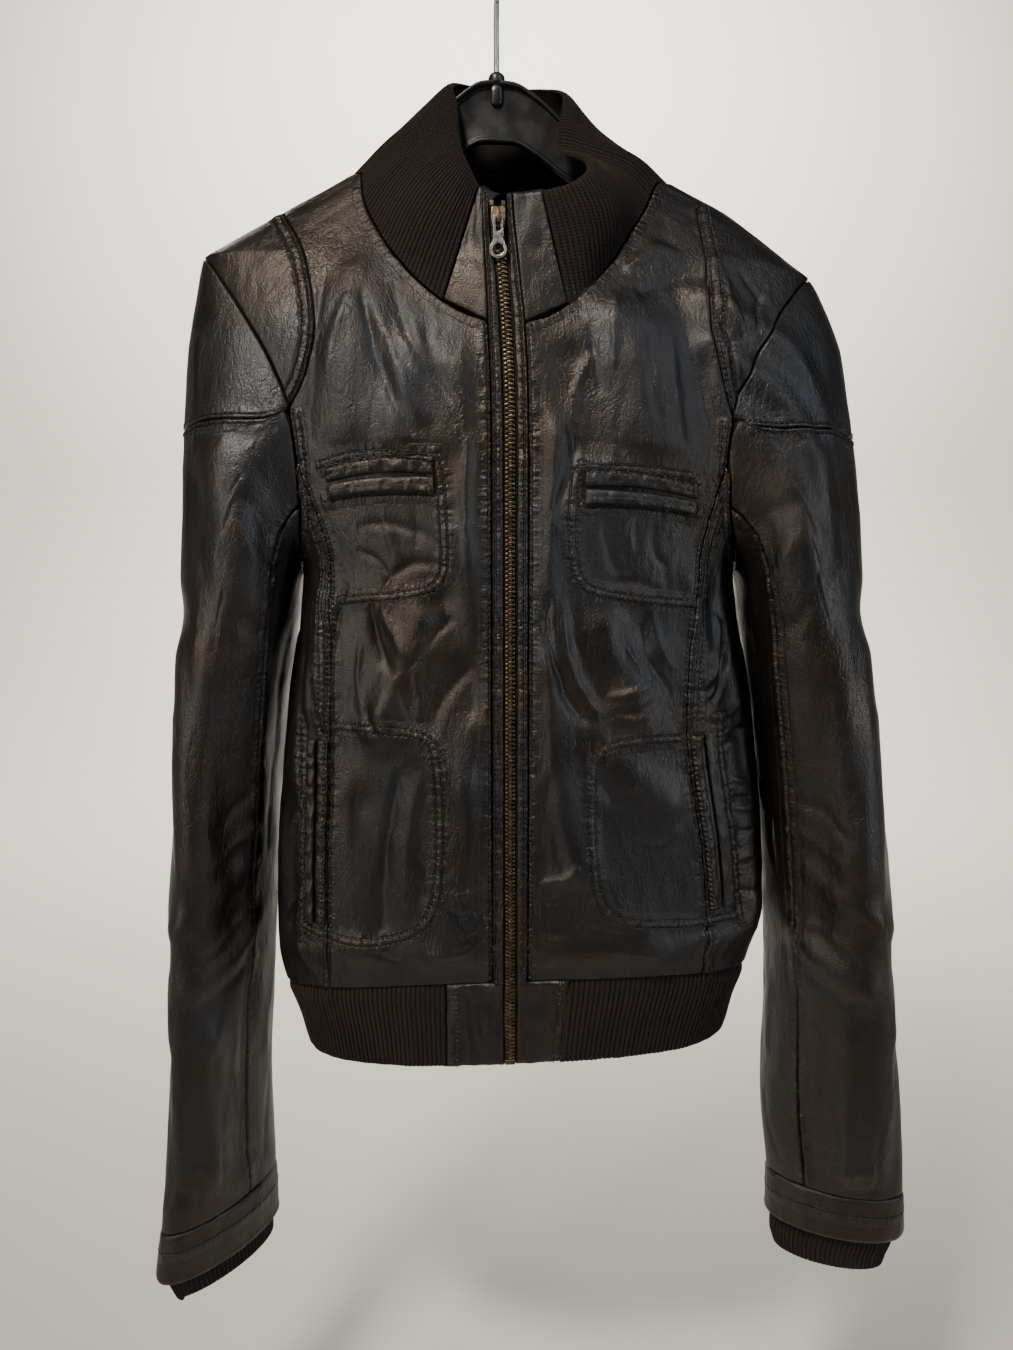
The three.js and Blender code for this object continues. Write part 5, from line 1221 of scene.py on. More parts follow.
wrists = {s: Surface(cuff_frame(s), cuff_height(s)) for s in SIDES}


def ribbed(t, strength, base=0.0):
    """Height of rounded ribs with narrow valleys, where t counts the ribs."""
    return base + strength * (2 * np.sqrt(np.abs(np.sin(np.pi * t))) - 1)


def knit_shell(name, points_at, ribs, rows, first=0.0, tube=False, samples=6, **keys):
    """A knitted wall. points_at takes steps round and along and a distance out; each row has place, out, rib, thickness."""
    count = ribs * samples
    c = np.arange(count + (0 if tube else 1))[None, :]
    place_row, out, rib, thick = (np.array(x)[:, None] for x in zip(*rows))
    t = c / samples + 0 * place_row
    wave = 1 + 0.12 * crumple(t / 1.0, place_row * 9)
    outer, run = points_at(c / count + first, place_row, out + ribbed(t, rib) * wave)
    inner, _ = points_at(c / count + first, place_row, out - thick)
    # The third channel marks the rib valleys, where shade is painted into the knit's colour
    loops = np.stack([t, run / 1.9, 1 - np.sqrt(np.abs(np.sin(np.pi * t)))], -1)
    return shell(name, outer, inner, "knit", skip=samples // 2 * 2, tube=tube, channels={"loops": loops}, slot="knit", **keys)


def lengths(points):
    step = np.linalg.norm(np.diff(points, axis=0), axis=-1)
    return np.concatenate([np.zeros((1, points.shape[1])), step.cumsum(0)])


for s, word in SIDES.items():
    shape, wrist = SLEEVE[s], wrists[s]
    k = np.linspace(0, ARM_POINTS, 300, endpoint=False)
    seam = wrist.sew(np.append(k, 20.0), np.full(301, shape["hem"] - 13.0), rows=(0,), swell=0.0, pucker=0.16, reach=6)
    seam.rows = (0,)
    rows = np.concatenate([[0], np.linspace(0.02, 0.97, 28), [1]])[:, None]
    z = mix(shape["hem"] - SEAM, shape["end"], rows)
    grow = 0.4 + 0.9 * np.sqrt(rows) - 0.9 * bump(rows, 0.03) - 0.9 * bump(1 - rows, 0.03)
    place_by((k[None, :200:1] * 1.5, z), wrist, f"sleeve_hem_leather_{word}", [f"sleeve_hem_{word}"], grow,
             grow - 2.6, tube=True)

    def cuff_points(c, row, out, s=s):
        at = CUFF_ROWS[s](row)
        table = sleeve_ring(s, c * ARM_POINTS + 0 * row, at + 0 * c)
        pk = sleeve_ring(s, c * ARM_POINTS + 0.2, at + 0 * c) - sleeve_ring(s, c * ARM_POINTS - 0.2, at + 0 * c)
        n = unit(np.cross(pk, [0, 0, 1.0])) * -s
        n = np.where(((table - table.mean(1, keepdims=True)) * n).sum(-1, keepdims=True) < 0, -n, n)
        p = table + n * out[..., None]
        return p, lengths(p)

    CUFF_ROWS = {s: Curve((0, shape["hem"] + 4), (1, shape["cuff"]))}
    sink = Curve((0, -4.6), (0.62, -4.8), (1, -7.6 - shape["draw"]))
    steps = [*np.linspace(0, 0.9, 26), 0.93, 0.955, 0.975, 0.99, 1.0]
    profile = [(v, float(sink(v)) - 2.4 * max(0, (v - 0.93) / 0.07) ** 2.5, 0.5 - 0.25 * max(0, (v - 0.93) / 0.07),
                2.6 - 1.6 * max(0, (v - 0.93) / 0.07)) for v in steps]
    knit_shell(f"cuff_knit_{word}", cuff_points, 66, profile, tube=True, replaces=[f"cuff_rib_{word}"])


# Hem of the body: knitted band and leather blocks
block_x = {-1: Curve((HEM_Z, 46.5), (HIP_Z, 41.5)), 1: Curve((HEM_Z, 35.2), (HIP_Z, 36.5))}
HEM_RIBS = 208


def hem_top(a):
    return HIP_Z - hip_drop(a) - SEAM


def hem_bottom(a):
    return HEM_Z - 4 * np.minimum(1, np.abs(a)) ** 2


def hem_points(c, row, out):
    z_map = mix(HIP_Z, HEM_Z, row)
    inset = SEAM / 2 / 190
    u = mix(step_at_x(block_x[1](z_map), HIP_Z) + inset, 4 - step_at_x(block_x[-1](z_map), HIP_Z) - inset, c)
    a = np.where(u > 2, u - 4, u)
    z = mix(hem_top(a), hem_bottom(a), row)
    slack = 0.5 * broad(u * 9, row * 2) * np.sin(np.pi * clamp(row)) + 0.3 * crumple(u * 30, row * 3)
    p = body.points(a, z, out + slack)[0]
    return p, lengths(p)


steps = [0, 0.03, 0.07, *np.linspace(0.12, 0.92, 26), 0.95, 0.975, 0.99, 1.0]
bulge = Curve((0, -2.4), (0.05, -1.0), (0.14, 0.2), (0.5, 0.9), (0.92, 0.7), (0.975, -0.2), (1, -1.2))
profile = [(v, float(bulge(v)), 0.55 * min(1, 0.5 + v * 5), 3.0 if 0.05 < v < 0.97 else 1.6) for v in steps]
knit_shell("hem_knit", hem_points, HEM_RIBS, profile, replaces=["hem_rib"])

block_rows = {-1: (34.5,), 1: (36.2, 31.2)}
for s, word in SIDES.items():
    z = np.linspace(HIP_Z - 4, HEM_Z - 1, 40)
    for at in block_rows[s]:
        scale = block_x[s](z) / block_x[s](HIP_Z)
        body.sew(s * step_at_x(at * scale, HIP_Z + 0 * z), z, rows=(0,), swell=0.15, pucker=0.3, reach=6)
    v = even(46)[:, None]
    z_map = mix(HIP_Z, HEM_Z, v)
    a = mix(step_at_x(4.6, HIP_Z), step_at_x(block_x[s](z_map), HIP_Z) - SEAM / 2 / 190, even(30)[None, :])
    creased = 0.6 + 0.9 * crumple(a * 28 + 5 * s, z_map / 15) + 0.5 * ripple(a * 60, z_map / 9 + s)
    leather_sheet(body, f"hem_block_leather_{word}", s * a, mix(hem_top(a), hem_bottom(a) + 0.2, v), out=creased, thick=3.0,
                  replaces=[f"hem_block_{word}"])

# Zip
zip_y = Curve((-700, -60), (-640, -64), (-607, -69), (-500, -73), (-400, -73), (-300, -70), (-262, -66), (-233, -60),
              (-205, -56), (-180, -52.5), (-157, -50))


def zip_point(x, z):
    x, z = np.broadcast_arrays(np.asarray(x, float), np.asarray(z, float))
    return stack(middle(z) + x, zip_y(z), z - lean(z) * x + LEVEL)


def zip_frame(x, z):
    return frame_of(zip_point, np.asarray(x, float), np.asarray(z, float), 0.5, 1.0)


def zip_height(x, z, p):
    side = np.sign(x) * 3
    h = 0.5 * crumple(z / 5.5 + side, x / 7) + 0.4 * ripple(z / 13 + side, x / 9)
    return h * clamp((np.abs(x) - 3.5) / 2)


front = Surface(zip_frame, zip_height)
placket_out = Curve((-233, PLACKET_OUT), (-158, 8.4))
zip_gap = Curve((-205, PLACKET_IN), (-188, 5.4), (-158, 5.4))
for s, word in SIDES.items():
    z = np.linspace(-160, HIP_Z + 2, 300)
    front.sew(s * (placket_out(z) - 2.0), z, rows=(0,), gully=0.0, swell=0.1, pucker=0.28, reach=6)
    z = mix(-158, HIP_Z + SEAM / 2, np.linspace(0, 1, 240))[:, None]
    t = np.concatenate([[0, 0.04, 0.1], np.linspace(0.18, 0.9, 8), [0.96, 1]])[None, :]
    x = mix(zip_gap(z), placket_out(z), t)
    rim = 1.1 - 1.2 * bump(t, 0.08) - 0.9 * bump(1 - t, 0.06) - 1.0 * bump(z + 158, 1.0)
    place_by((s * x, z), front, f"placket_leather_{word}", [f"placket_{word}"], rim, rim * 0 - 1.0)
    z = mix(-170, HEM_Z + 1, np.linspace(0, 1, 260))[:, None]
    width = np.where(z < HIP_Z + 2, 4, 8.6)
    x = mix(0.2, width, np.linspace(0, 1, 7)[None, :])
    place_by((s * x, z), front, f"zip_tape_woven_{word}", [f"zip_tape_{word}"], -1.5 + 0 * x, -2.3 + 0 * x,
             material="tape", slot="zip_tape")


def many(name, points, faces, places, material, **keys):
    """One mesh of copies of a small form, each placed by an origin and three axes."""
    count, size = len(places), len(points)
    origin, axes = np.array([p[0] for p in places]), np.array([p[1] for p in places])
    all_points = origin[:, None] + np.einsum("pk,nkc->npc", points, axes)
    all_faces = [(np.asarray(f)[None] + (np.arange(count) * size)[:, None, None]).reshape(-1, np.shape(f)[1]) for f in faces]
    return make_object(name, all_points, all_faces, material, **keys)


def lofted(sections):
    """Points and faces of a closed form through equal-sized rings."""
    rings = np.array(sections, float)
    n, m = rings.shape[:2]
    caps = [np.arange(m)[None, ::-1], (np.arange(m) + (n - 1) * m)[None]]
    faces = [grid_faces(n, m, tube=True), *caps]
    points = rings.reshape(-1, 3)
    if enclosed(points, faces) < 0:
        faces = [f[:, ::-1] for f in faces]
    return points, faces


def rounded_ring(x, half_y, half_z, power=3.5, count=12):
    t = np.arange(count) / count * 2 * np.pi
    c, d = np.cos(t), np.sin(t)
    return np.stack([x + 0 * t, half_y * np.sign(c) * np.abs(c) ** (2 / power),
                     half_z * np.sign(d) * np.abs(d) ** (2 / power)], -1)


tooth = lofted([rounded_ring(x, y, z, 3.5, 8) for x, y, z in [(2.85, 0.6, 0.6), (2.7, 0.8, 0.85), (1.5, 0.84, 0.85),
                                                              (0.9, 0.84, 0.55), (-0.8, 0.78, 0.5), (-1.0, 0.5, 0.3)]])


def front_place(x, z, out, side=1):
    p, px, pz, n = zip_frame(np.array([x]), np.array([z]))
    return (p + n * out)[0], np.stack([unit(px)[0] * side, n[0], unit(pz)[0]])


teeth = []
z, s = -180.2, 1
while z > HEM_Z + 4.6:
    teeth.append(front_place(0, z, -0.15, s))
    z, s = z - TOOTH_PITCH, -s
many("zip_teeth", *tooth, teeth, "brass", slot="zip_brass", replaces=["zip_chain"])
stop = lofted([rounded_ring(x, y, z, 4, 16) for x, y, z in [(-3.2, 0.6, 1.2), (-2.9, 1.2, 1.7), (2.9, 1.2, 1.7),
                                                          (3.2, 0.6, 1.2)]])
many("zip_bottom_stop_brass", *stop, [front_place(0, HEM_Z + 2.3, 0.1)], "brass", slot="zip_brass",
     replaces=["zip_bottom_stop"])
top_stop = lofted([rounded_ring(x, y, z, 4, 16) for x, y, z in [(-1.3, 0.5, 1.6), (-1.1, 0.9, 2.1), (1.1, 0.9, 2.1),
                                                              (1.3, 0.5, 1.6)]])
many("zip_top_stops", *top_stop, [front_place(-3.4, -164.5, 0.1), front_place(3.4, -164.5, 0.1)], "brass", slot="zip_brass")


# Slider, bridge and pull tab: plates with rounded edges
def plate(name, outlines, thick, bevel, matrix, material, smooth=True, **keys):
    """A plate in its own x and y, rounded at its edges, then placed by rows of axes and an origin."""
    curve = bpy.data.curves.new(name, "CURVE")
    curve.dimensions, curve.fill_mode = "2D", "BOTH"
    curve.extrude, curve.bevel_depth, curve.bevel_resolution = thick / 2 - bevel, bevel, 3
    curve.offset = -bevel
    for line in outlines:
        spline = curve.splines.new("POLY")
        spline.points.add(len(line) - 1)
        spline.points.foreach_set("co", np.array([(x, y, 0, 1) for x, y in line], np.float32).ravel())
        spline.use_cyclic_u = True
    maker = bpy.data.objects.new(name + "_maker", curve)
    mesh = bpy.data.meshes.new_from_object(maker)
    points = np.empty(len(mesh.vertices) * 3)
    mesh.vertices.foreach_get("co", points)
    points = points.reshape(-1, 3)
    faces = {}
    for polygon in mesh.polygons:
        faces.setdefault(len(polygon.vertices), []).append(list(polygon.vertices))
    bpy.data.objects.remove(maker)
    bpy.data.meshes.remove(mesh)
    bpy.data.curves.remove(curve)
    origin, axes = matrix
    faces = [np.array(f) for f in faces.values()]
    placed = origin + points @ axes
    if enclosed(placed, faces) < 0:
        faces = [f[:, ::-1] for f in faces]
    obj = make_object(name, placed, faces, material, smooth=smooth, **keys)
    obj.data.set_sharp_from_angle(angle=math.radians(40))
    return obj


def round_corners(points, radius, count=5):
    """An outline with its corners cut to arcs."""
    points = [np.array(p, float) for p in points]
    out = []
    for i, p in enumerate(points):
        a, b = points[i - 1] - p, points[(i + 1) % len(points)] - p
        r = min(radius, np.linalg.norm(a) * 0.45, np.linalg.norm(b) * 0.45)
        start, end = p + a / np.linalg.norm(a) * r, p + b / np.linalg.norm(b) * r
        for t in np.linspace(0, 1, count):
            out.append(start * (1 - t) ** 2 + p * 2 * t * (1 - t) + end * t * t)
    return out


def settle(z, out):
    """Origin and axes on the slope of the zip: across, up the zip, and out of it."""
    slope = math.atan(float(zip_y(z + 10) - zip_y(z - 10)) / 20)
    up = np.array([0, math.sin(slope), math.cos(slope)])
    outward = np.array([0, -math.cos(slope), math.sin(slope)])
    return zip_point(0, z) + np.array([0, -out, 0]), np.stack([[1.0, 0, 0], up, outward])


def turned(place_on, angle):
    """The same origin with the plate leaning out at its lower end."""
    origin, (across, up, outward) = place_on
    c, d = math.cos(angle), math.sin(angle)
    return origin, np.stack([across, up * c + outward * d, outward * c - up * d])


def lifted(place_on, out, up=0.0):
    origin, axes = place_on
    return origin + axes[2] * out + axes[1] * up, axes


slider_at = settle(SLIDER_Z, 0)
wings = [(-4.2, 5.0), (-3.2, 6), (3.2, 6), (4.2, 5.0), (4.3, 0), (3.5, -5.2), (2.6, -5.8), (-2.6, -5.8), (-3.5, -5.2),
         (-4.3, 0)]
for name, out in (("slider_front_plate", 2.5), ("slider_back_plate", -2.1)):
    plate(name, [round_corners(wings, 1.2)], 1.3, 0.35, lifted(slider_at, out), "slider", slot="zip_brass",
          replaces=["zip_slider"])
plate("slider_neck", [round_corners([(-1.9, 5.6), (1.9, 5.6), (1.3, 0.4), (-1.3, 0.4)], 0.5)], 4.2, 0.2,
      lifted(slider_at, 0.2), "slider", slot="zip_brass", replaces=["zip_slider"])
for s, word in SIDES.items():
    flange = [(s * 3.5, 1.0), (s * 4.2, 1.0), (s * 3.4, -5.4), (s * 2.8, -5.2)]
    plate(f"slider_flange_{word}", [round_corners(flange, 0.25)], 2.3, 0.2, lifted(slider_at, 1.5), "slider",
          slot="zip_brass", replaces=["zip_slider"])
arch = [(2.9, -4.2), (6.3, -4.2), (7.4, -3.2), (7.4, 3.2), (6.3, 4.2), (2.9, 4.2), (2.9, 2.9), (5.9, 2.9), (6.2, 2.5),
        (6.2, -2.5), (5.9, -2.9), (2.9, -2.9)]
origin, (across, up, outward) = slider_at
plate("slider_bridge_brass", [round_corners(arch, 0.7)], 1.8, 0.4, (origin, np.stack([outward, up, across])), "slider",
      slot="zip_brass", replaces=["slider_bridge"])

circle = [(math.cos(t), math.sin(t)) for t in np.linspace(0, 2 * math.pi, 48, endpoint=False)]
EYE_Z, EYE_IN, EYE_OUT = -18.3, 3.4, 5.1
ring = [(EYE_OUT * math.cos(t), EYE_Z + EYE_OUT * math.sin(t)) for t in np.radians(np.linspace(40, -220, 40))]
stem = round_corners([(-3.3, -11.5), (-2.9, -7), (-2.9, 0.2), (-2.6, 0.8), (2.6, 0.8), (2.9, 0.2), (2.9, -7), (3.3, -11.5)],
                     0.8)
slot_line = round_corners([(-1.4, -0.8), (-1.4, -8.4), (1.4, -8.4), (1.4, -0.8)], 0.7)
eye_line = [(EYE_IN * x, EYE_Z + EYE_IN * y) for x, y in circle]
tab_at = turned(settle(SLIDER_Z, 4.95), math.radians(6.2))
plate("pull_tab_plate", [[*stem, *ring], slot_line, eye_line], 1.3, 0.32, tab_at, "steel", slot="tab_steel",
      replaces=["pull_tab"], rides="pull_tab")


# Collar: a knitted funnel with leather facings
def catmull(points, count):
    """A smooth path through points, by the square roots of their distances."""
    p = np.array(points, float)
    p = np.concatenate([[2 * p[0] - p[1]], p, [2 * p[-1] - p[-2]]])
    t = np.linspace(0, len(points) - 1, count)
    i = np.minimum(t.astype(int), len(points) - 2)
    f = (t - i)[:, None]
    d = np.maximum(np.linalg.norm(np.diff(p, axis=0), axis=1) ** 0.5, 1e-4)[:, None]
    a, b, c = d[i], d[i + 1], d[i + 2]
    p0, p1, p2, p3 = p[i], p[i + 1], p[i + 2], p[i + 3]
    m1 = ((p1 - p0) / a - (p2 - p0) / (a + b) + (p2 - p1) / b) * b
    m2 = ((p2 - p1) / b - (p3 - p1) / (b + c) + (p3 - p2) / c) * b
    return p1 + m1 * f + (-3 * p1 + 3 * p2 - 2 * m1 - m2) * f**2 + (2 * p1 - 2 * p2 + m1 + m2) * f**3


class Path:
    """A line of points, asked for by its share of the length."""

    def __init__(self, points):
        self.points = points
        self.share = np.concatenate([[0], np.linalg.norm(np.diff(points, axis=0), axis=1).cumsum()])
        self.share /= self.share[-1]

    def __call__(self, u):
        return np.stack([np.interp(u, self.share, self.points[:, k]) for k in range(3)], -1)


def neck_edge(s):
    z = np.linspace(-220, -135, 60)
    u = np.linspace(1, 2, 60)[1:]
    front_line = body.points(s * step_at_x(neck_x(z), z), z)[0]
    back_line = body.points(s * u, -135 - 2 * np.sin((u - 1) * np.pi / 2))[0]
    return Path(np.concatenate([front_line, back_line]))


down_by = np.array([0, 0, LEVEL])
TOP_EDGE = {
    -1: [(-10.4, -47, -152.5), (-15.5, -41, -140), (-20.5, -33, -127), (-23, -20, -110), (-24.5, -8.5, -91),
         (-28.5, -1, -78), (-27, 10, -72), (-17, 25, -68), (2, 37, -67)],
    1: [(27, -53, -157.5), (44, -54, -153), (54, -47, -143), (52.5, -38, -133), (43.5, -29, -127), (38.5, -19, -122),
        (38.5, -12, -107), (42, -3, -91), (43, 9, -78), (31, 25, -70), (2, 37, -67)],
}
neck_lines = {s: neck_edge(s) for s in SIDES}
top_lines = {s: Path(catmull(TOP_EDGE[s], 400) + down_by) for s in SIDES}


def collar_side(s, u, v):
    w = 1 - np.abs(u)
    base, top = neck_lines[s](w), top_lines[s](w)
    rise = top - base
    p = base + unit(rise) * 0.85 * (1 - v)[..., None] + rise * v[..., None]
    away = unit(p - np.stack([8 + 0 * u, -8 + 0 * u, p[..., 2]], -1))
    side = np.sin(np.pi * clamp(w)) ** 0.7
    vv = np.maximum(v, 0)
    return p + away * ((12 if s > 0 else 8.5) * side * np.sin(np.pi * vv**1.15))[..., None]


def collar_smooth(u, v):
    u, v = np.broadcast_arrays(np.asarray(u, float), np.asarray(v, float))
    u = clamp(u, -1, 1)
    return np.where((u < 0)[..., None], collar_side(-1, u, v), collar_side(1, u, v))


def collar_frame(u, v):
    p = collar_smooth(u, v)
    pu = (collar_smooth(np.minimum(u + 0.006, 1), v) - collar_smooth(np.maximum(u - 0.006, -1), v)) / 0.012
    pv = (collar_smooth(u, np.minimum(v + 0.03, 1)) - collar_smooth(u, np.maximum(v - 0.03, 0))) / 0.06
    return p, pu, pv, unit(np.cross(pv, pu))


def collar_points(c, row, out):
    u = mix(-1, 1, c) + 0 * row
    p, _, _, n = collar_frame(u, row + 0 * c)
    slack = 0.9 * broad(u * 7 + 3, row * 2.2) * np.sin(np.pi * clamp(row)) * clamp((1 - np.abs(u)) * 8)
    q = p + n * (out + slack)[..., None]
    return q, lengths(q)


steps = [0, 0.02, *np.linspace(0.05, 0.9, 34), 0.93, 0.955, 0.975, 0.99, 1.0]
over = Curve((0, 0), (0.8, 0), (0.93, 0.2), (0.975, -0.4), (1, -1.6))
profile = [(v, float(over(v)), 0.5 * min(1, 0.6 + 6 * v), 3.2 - 1.6 * max(0, (v - 0.93) / 0.07)) for v in steps]
knit_shell("collar_knit", collar_points, 137, profile, replaces=["collar_rib"])


def facing_frame(s):
    def at(t, v):
        t, v = np.broadcast_arrays(np.asarray(t, float), np.asarray(v, float))
        z = mix(NECK_Z + 1, -158, v)
        near = zip_point(s * (placket_out(z) + SEAM), z) + np.array([0, -0.6, 0])
        flat_v = clamp(v).ravel()
        edge = collar_smooth(np.full(flat_v.shape, float(s)), flat_v)
        step = unit(edge - collar_smooth(np.full(flat_v.shape, s * 0.98), flat_v)) * 0.4
        edge = (edge + step).reshape(*v.shape, 3)
        return near + (edge - near) * t[..., None]

    def frame(t, v):
        p, pt, pv, n = frame_of(at, np.asarray(t, float), np.asarray(v, float), 0.02, 0.02)
        return p, pt, pv, np.where(n[..., 1:2] > 0, -n, n)

    return frame


def facing_height(t, v, p):
    return (0.7 * broad(t * 2.2 + 5, v * 4) + 0.4 * crumple(t * 3, v * 9)) * np.sin(np.pi * clamp(t)) ** 0.5


facings = {s: Surface(facing_frame(s), facing_height) for s in SIDES}
for s, word in SIDES.items():
    v = np.linspace(0.06, 0.97, 80)
    facings[s].sew(0.97 + 0 * v, v, rows=(-2.4, -6.4) if s > 0 else (2.4, 6.4), swell=0.3, pucker=0.2, reach=9)
    t, v = even(30)[None, :], mix(0.002, 1, even(56))[:, None]
    leather_sheet(facings[s], f"collar_facing_leather_{word}", t, v, thick=1.8, replaces=[f"collar_facing_{word}"])


# Strip inside the back of the neck
def strip_smooth(x, z):
    x, z = np.broadcast_arrays(np.asarray(x, float), np.asarray(z, float))
    y = 30.4 - 3.4 * ((x - 9) / 31) ** 2
    return stack(x, y, z - x * 0.03 + LEVEL)


def strip_frame(x, z):
    p, px, pz, n = frame_of(strip_smooth, np.asarray(x, float), np.asarray(z, float), 0.5, 0.5)
    return p, px, pz, np.where(n[..., 1:2] > 0, -n, n)


strip = Surface(strip_frame, lambda x, z, p: 0.2 * crumple(x / 6, z / 4))
x = np.linspace(-20, 38, 60)
strip.sew(x, -122.3 + 0 * x, rows=(0,), pucker=0.1, reach=4)
strip.sew(x, -126.2 + 0 * x, rows=(0,), pucker=0.1, reach=4)
leather_sheet(strip, "neck_strip_leather", mix(-22, 40, even(70))[None, :], mix(-121, -127.5, even(14))[:, None],
              thick=1.6, replaces=["neck_strip"])

# Chest pockets: two puffed welts with a slit between them
for s, word in SIDES.items():
    x0, x1 = CHEST[s][:2]
    for part, high, low in WELTS:
        t = np.linspace(0, 1, 72)[None, :]
        v = even(18)[:, None]
        x = mix(x0, x1, t) + 0 * v
        z = welt_middle(s, t) + mix(high(t), low(t), v)
        puff = dome(v) * (0.35 + 0.65 * dome(t, 6)) * (1 + 0.34 * ripple(t * 11 + 3 * s, v * 1.5 + high(0.0))
                                                        + 0.34 * crumple(t * 22 + 3 * s, v * 1.2 + high(0.0)))
        place_by((s * step_at_x(x, z), z), body, f"chest_{part}_welt_{word}", [f"chest_welt_{part}_{word}"],
                 1.15 + 2.1 * puff, 1.1 + 0 * x)

# Side pockets: two upright welts beside each panel seam
SIDE_SLIT = {-1: (8, 1.2), 1: (9, 3.4)}
for s, word in SIDES.items():
    mid, gap = SIDE_SLIT[s]
    for part, d0, d1 in (("inner", -7.2, -gap / 2), ("outer", gap / 2, gap / 2 + 6.4)):
        z = mix(-478, -594, np.linspace(0, 1, 110))[:, None]
        v = even(14)[None, :]
        d = mix(d0, d1, v)
        puff = dome(v) * (0.4 + 0.6 * dome((z + 594) / 116, 8)) * (1 + 0.34 * ripple(z / 7 + s, v + d0)
                                                                + 0.26 * crumple(z / 3.6 + s, v + d0))
        at = s * step_at_x(princess_x[s](z) + mid + d, z + 0 * d)
        rise = 0.5 if (s, part) == (1, "outer") else 2.1
        place_by((at, z + 0 * d), body, f"side_{part}_welt_{word}", [f"side_welt_{part}_{word}"], 1.25 + rise * puff,
                 1.1 + 0 * puff)

# Hanger: arched plate with rims, boss and hook
hanger_top = Curve((0, -75.5), (10, -76.5), (24, -84.5), (40, -98), (60, -115), (93, -136.5), (130, -159), (160, -177),
                   (176, -187))
hanger_deep = Curve((0, 36), (30, 34), (60, 27), (93, 21), (130, 17), (160, 14), (176, 10))


def hanger_ring(x):
    u = abs(x)
    h = float(hanger_deep(u))
    line = [(-4.5, 0), (4.5, 0), (4.5, -2.6), (1.5, -3.4), (1.5, -h + 3.2), (3.2, -h + 2.4), (3.2, -h), (-3.2, -h),
            (-3.2, -h + 2.4), (-1.5, -h + 3.2), (-1.5, -3.4), (-4.5, -2.6)]
    line = np.array(round_corners(line, 0.9, 4))
    shift, drop = 6.5 * min(1, u / 93), 2.2 * clamp((u - 24) / 40)
    return stack(x + shift, line[:, 0] + 3, float(hanger_top(u)) + line[:, 1] - drop - 0.036 * x + LEVEL)


points, faces = lofted([hanger_ring(x) for x in np.linspace(-176, 176, 120)])
hanger = make_object("hanger_plate", points, faces, "plastic", slot="hanger_plastic", replaces=["hanger"])
hanger.data.set_sharp_from_angle(angle=math.radians(50))


def turned_form(profile, centre, count=40):
    """A form turned on an upright line, from pairs of radius and level."""
    t = np.arange(count) / count * 2 * np.pi
    return [stack(centre[0] + r * np.cos(t), centre[1] + r * np.sin(t), z + LEVEL) for r, z in profile]


boss = [(2.15, -70.4), (2.9, -70.5), (3.3, -70.8), (4.3, -71.6), (4.9, -72.4), (5.2, -73.6), (5.25, -75.6), (5.2, -76.8)]
points, faces = lofted(turned_form(boss, (0, 3)))
make_object("hanger_boss_turned", points, faces, "plastic", slot="hanger_plastic", replaces=["hanger_boss"])


def socket_form():
    """A rounded peg standing out of the plate's front, below the boss."""
    t = np.arange(32) / 32 * 2 * np.pi
    rings = [stack(k * 3.7 * np.cos(t), 1.7 - out, -84.2 + LEVEL + k * 3.7 * np.sin(t) + 2.9 * np.sign(np.sin(t)) * k)
             for k, out in ((1, 0), (1, 1.6), (0.93, 2.3), (0.75, 2.8), (0.4, 3.05), (0.1, 3.1))]
    return lofted(rings)


make_object("hanger_socket", *socket_form(), "plastic", slot="hanger_plastic", replaces=["hanger_boss"])


def tube_along(path, radius, count=20):
    """Rings round a path, each held square to it without twisting."""
    along = unit(np.gradient(path, axis=0))
    side = unit(np.cross(along[0], [0, 1.0, 0]))
    rings = []
    radius = np.broadcast_to(radius, len(path))
    t = np.arange(count) / count * 2 * np.pi
    for p, way, r in zip(path, along, radius):
        side = unit(side - way * (side @ way))
        other = np.cross(way, side)
        rings.append(p + r * (np.cos(t)[:, None] * side + np.sin(t)[:, None] * other))
    return lofted(rings)


r = HOOK_IN + WIRE
hook_path = catmull([(0, 3, -75 + LEVEL), (0, 3, -64 + LEVEL), (0, 1.4, -62), (0.8, 0, -51), (5.5, 0, -43.5),
                     (13.5, 0, -35.5), (19, 0, -27.5), (r, 0, -19), (r * 0.866, 0, -19 + r / 2),
                     (r / 2, 0, -19 + r * 0.866), (0, 0, -19 + r), (-r / 2, 0, -19 + r * 0.866),
                     (-r * 0.866, 0, -19 + r / 2), (-r, 0, -19), (-r * 0.93, 0, -27), (-r * 0.86, 0, -30)], 220)
left_over = np.linalg.norm(np.diff(hook_path[::-1], axis=0), axis=1).cumsum()
end_r = np.append(np.sqrt(clamp(1 - (1 - clamp(np.append(0.05, left_over) / WIRE)) ** 2)), [])[::-1] * WIRE
make_object("hanger_hook_wire", *tube_along(hook_path, end_r), "wire", slot="hook_wire", replaces=["hanger_hook"])


# Stitches along every row
def stitch_form():
    t = np.arange(4) / 4 * 2 * np.pi
    rings = [np.stack([x + 0 * t, w * np.cos(t), 0.8 * w * np.sin(t)], -1)
             for x, w in ((-1.25, 0.15), (-0.75, 0.42), (0.75, 0.42), (1.25, 0.15))]
    return lofted(rings)


STITCH_POINTS, STITCH_FACES = stitch_form()


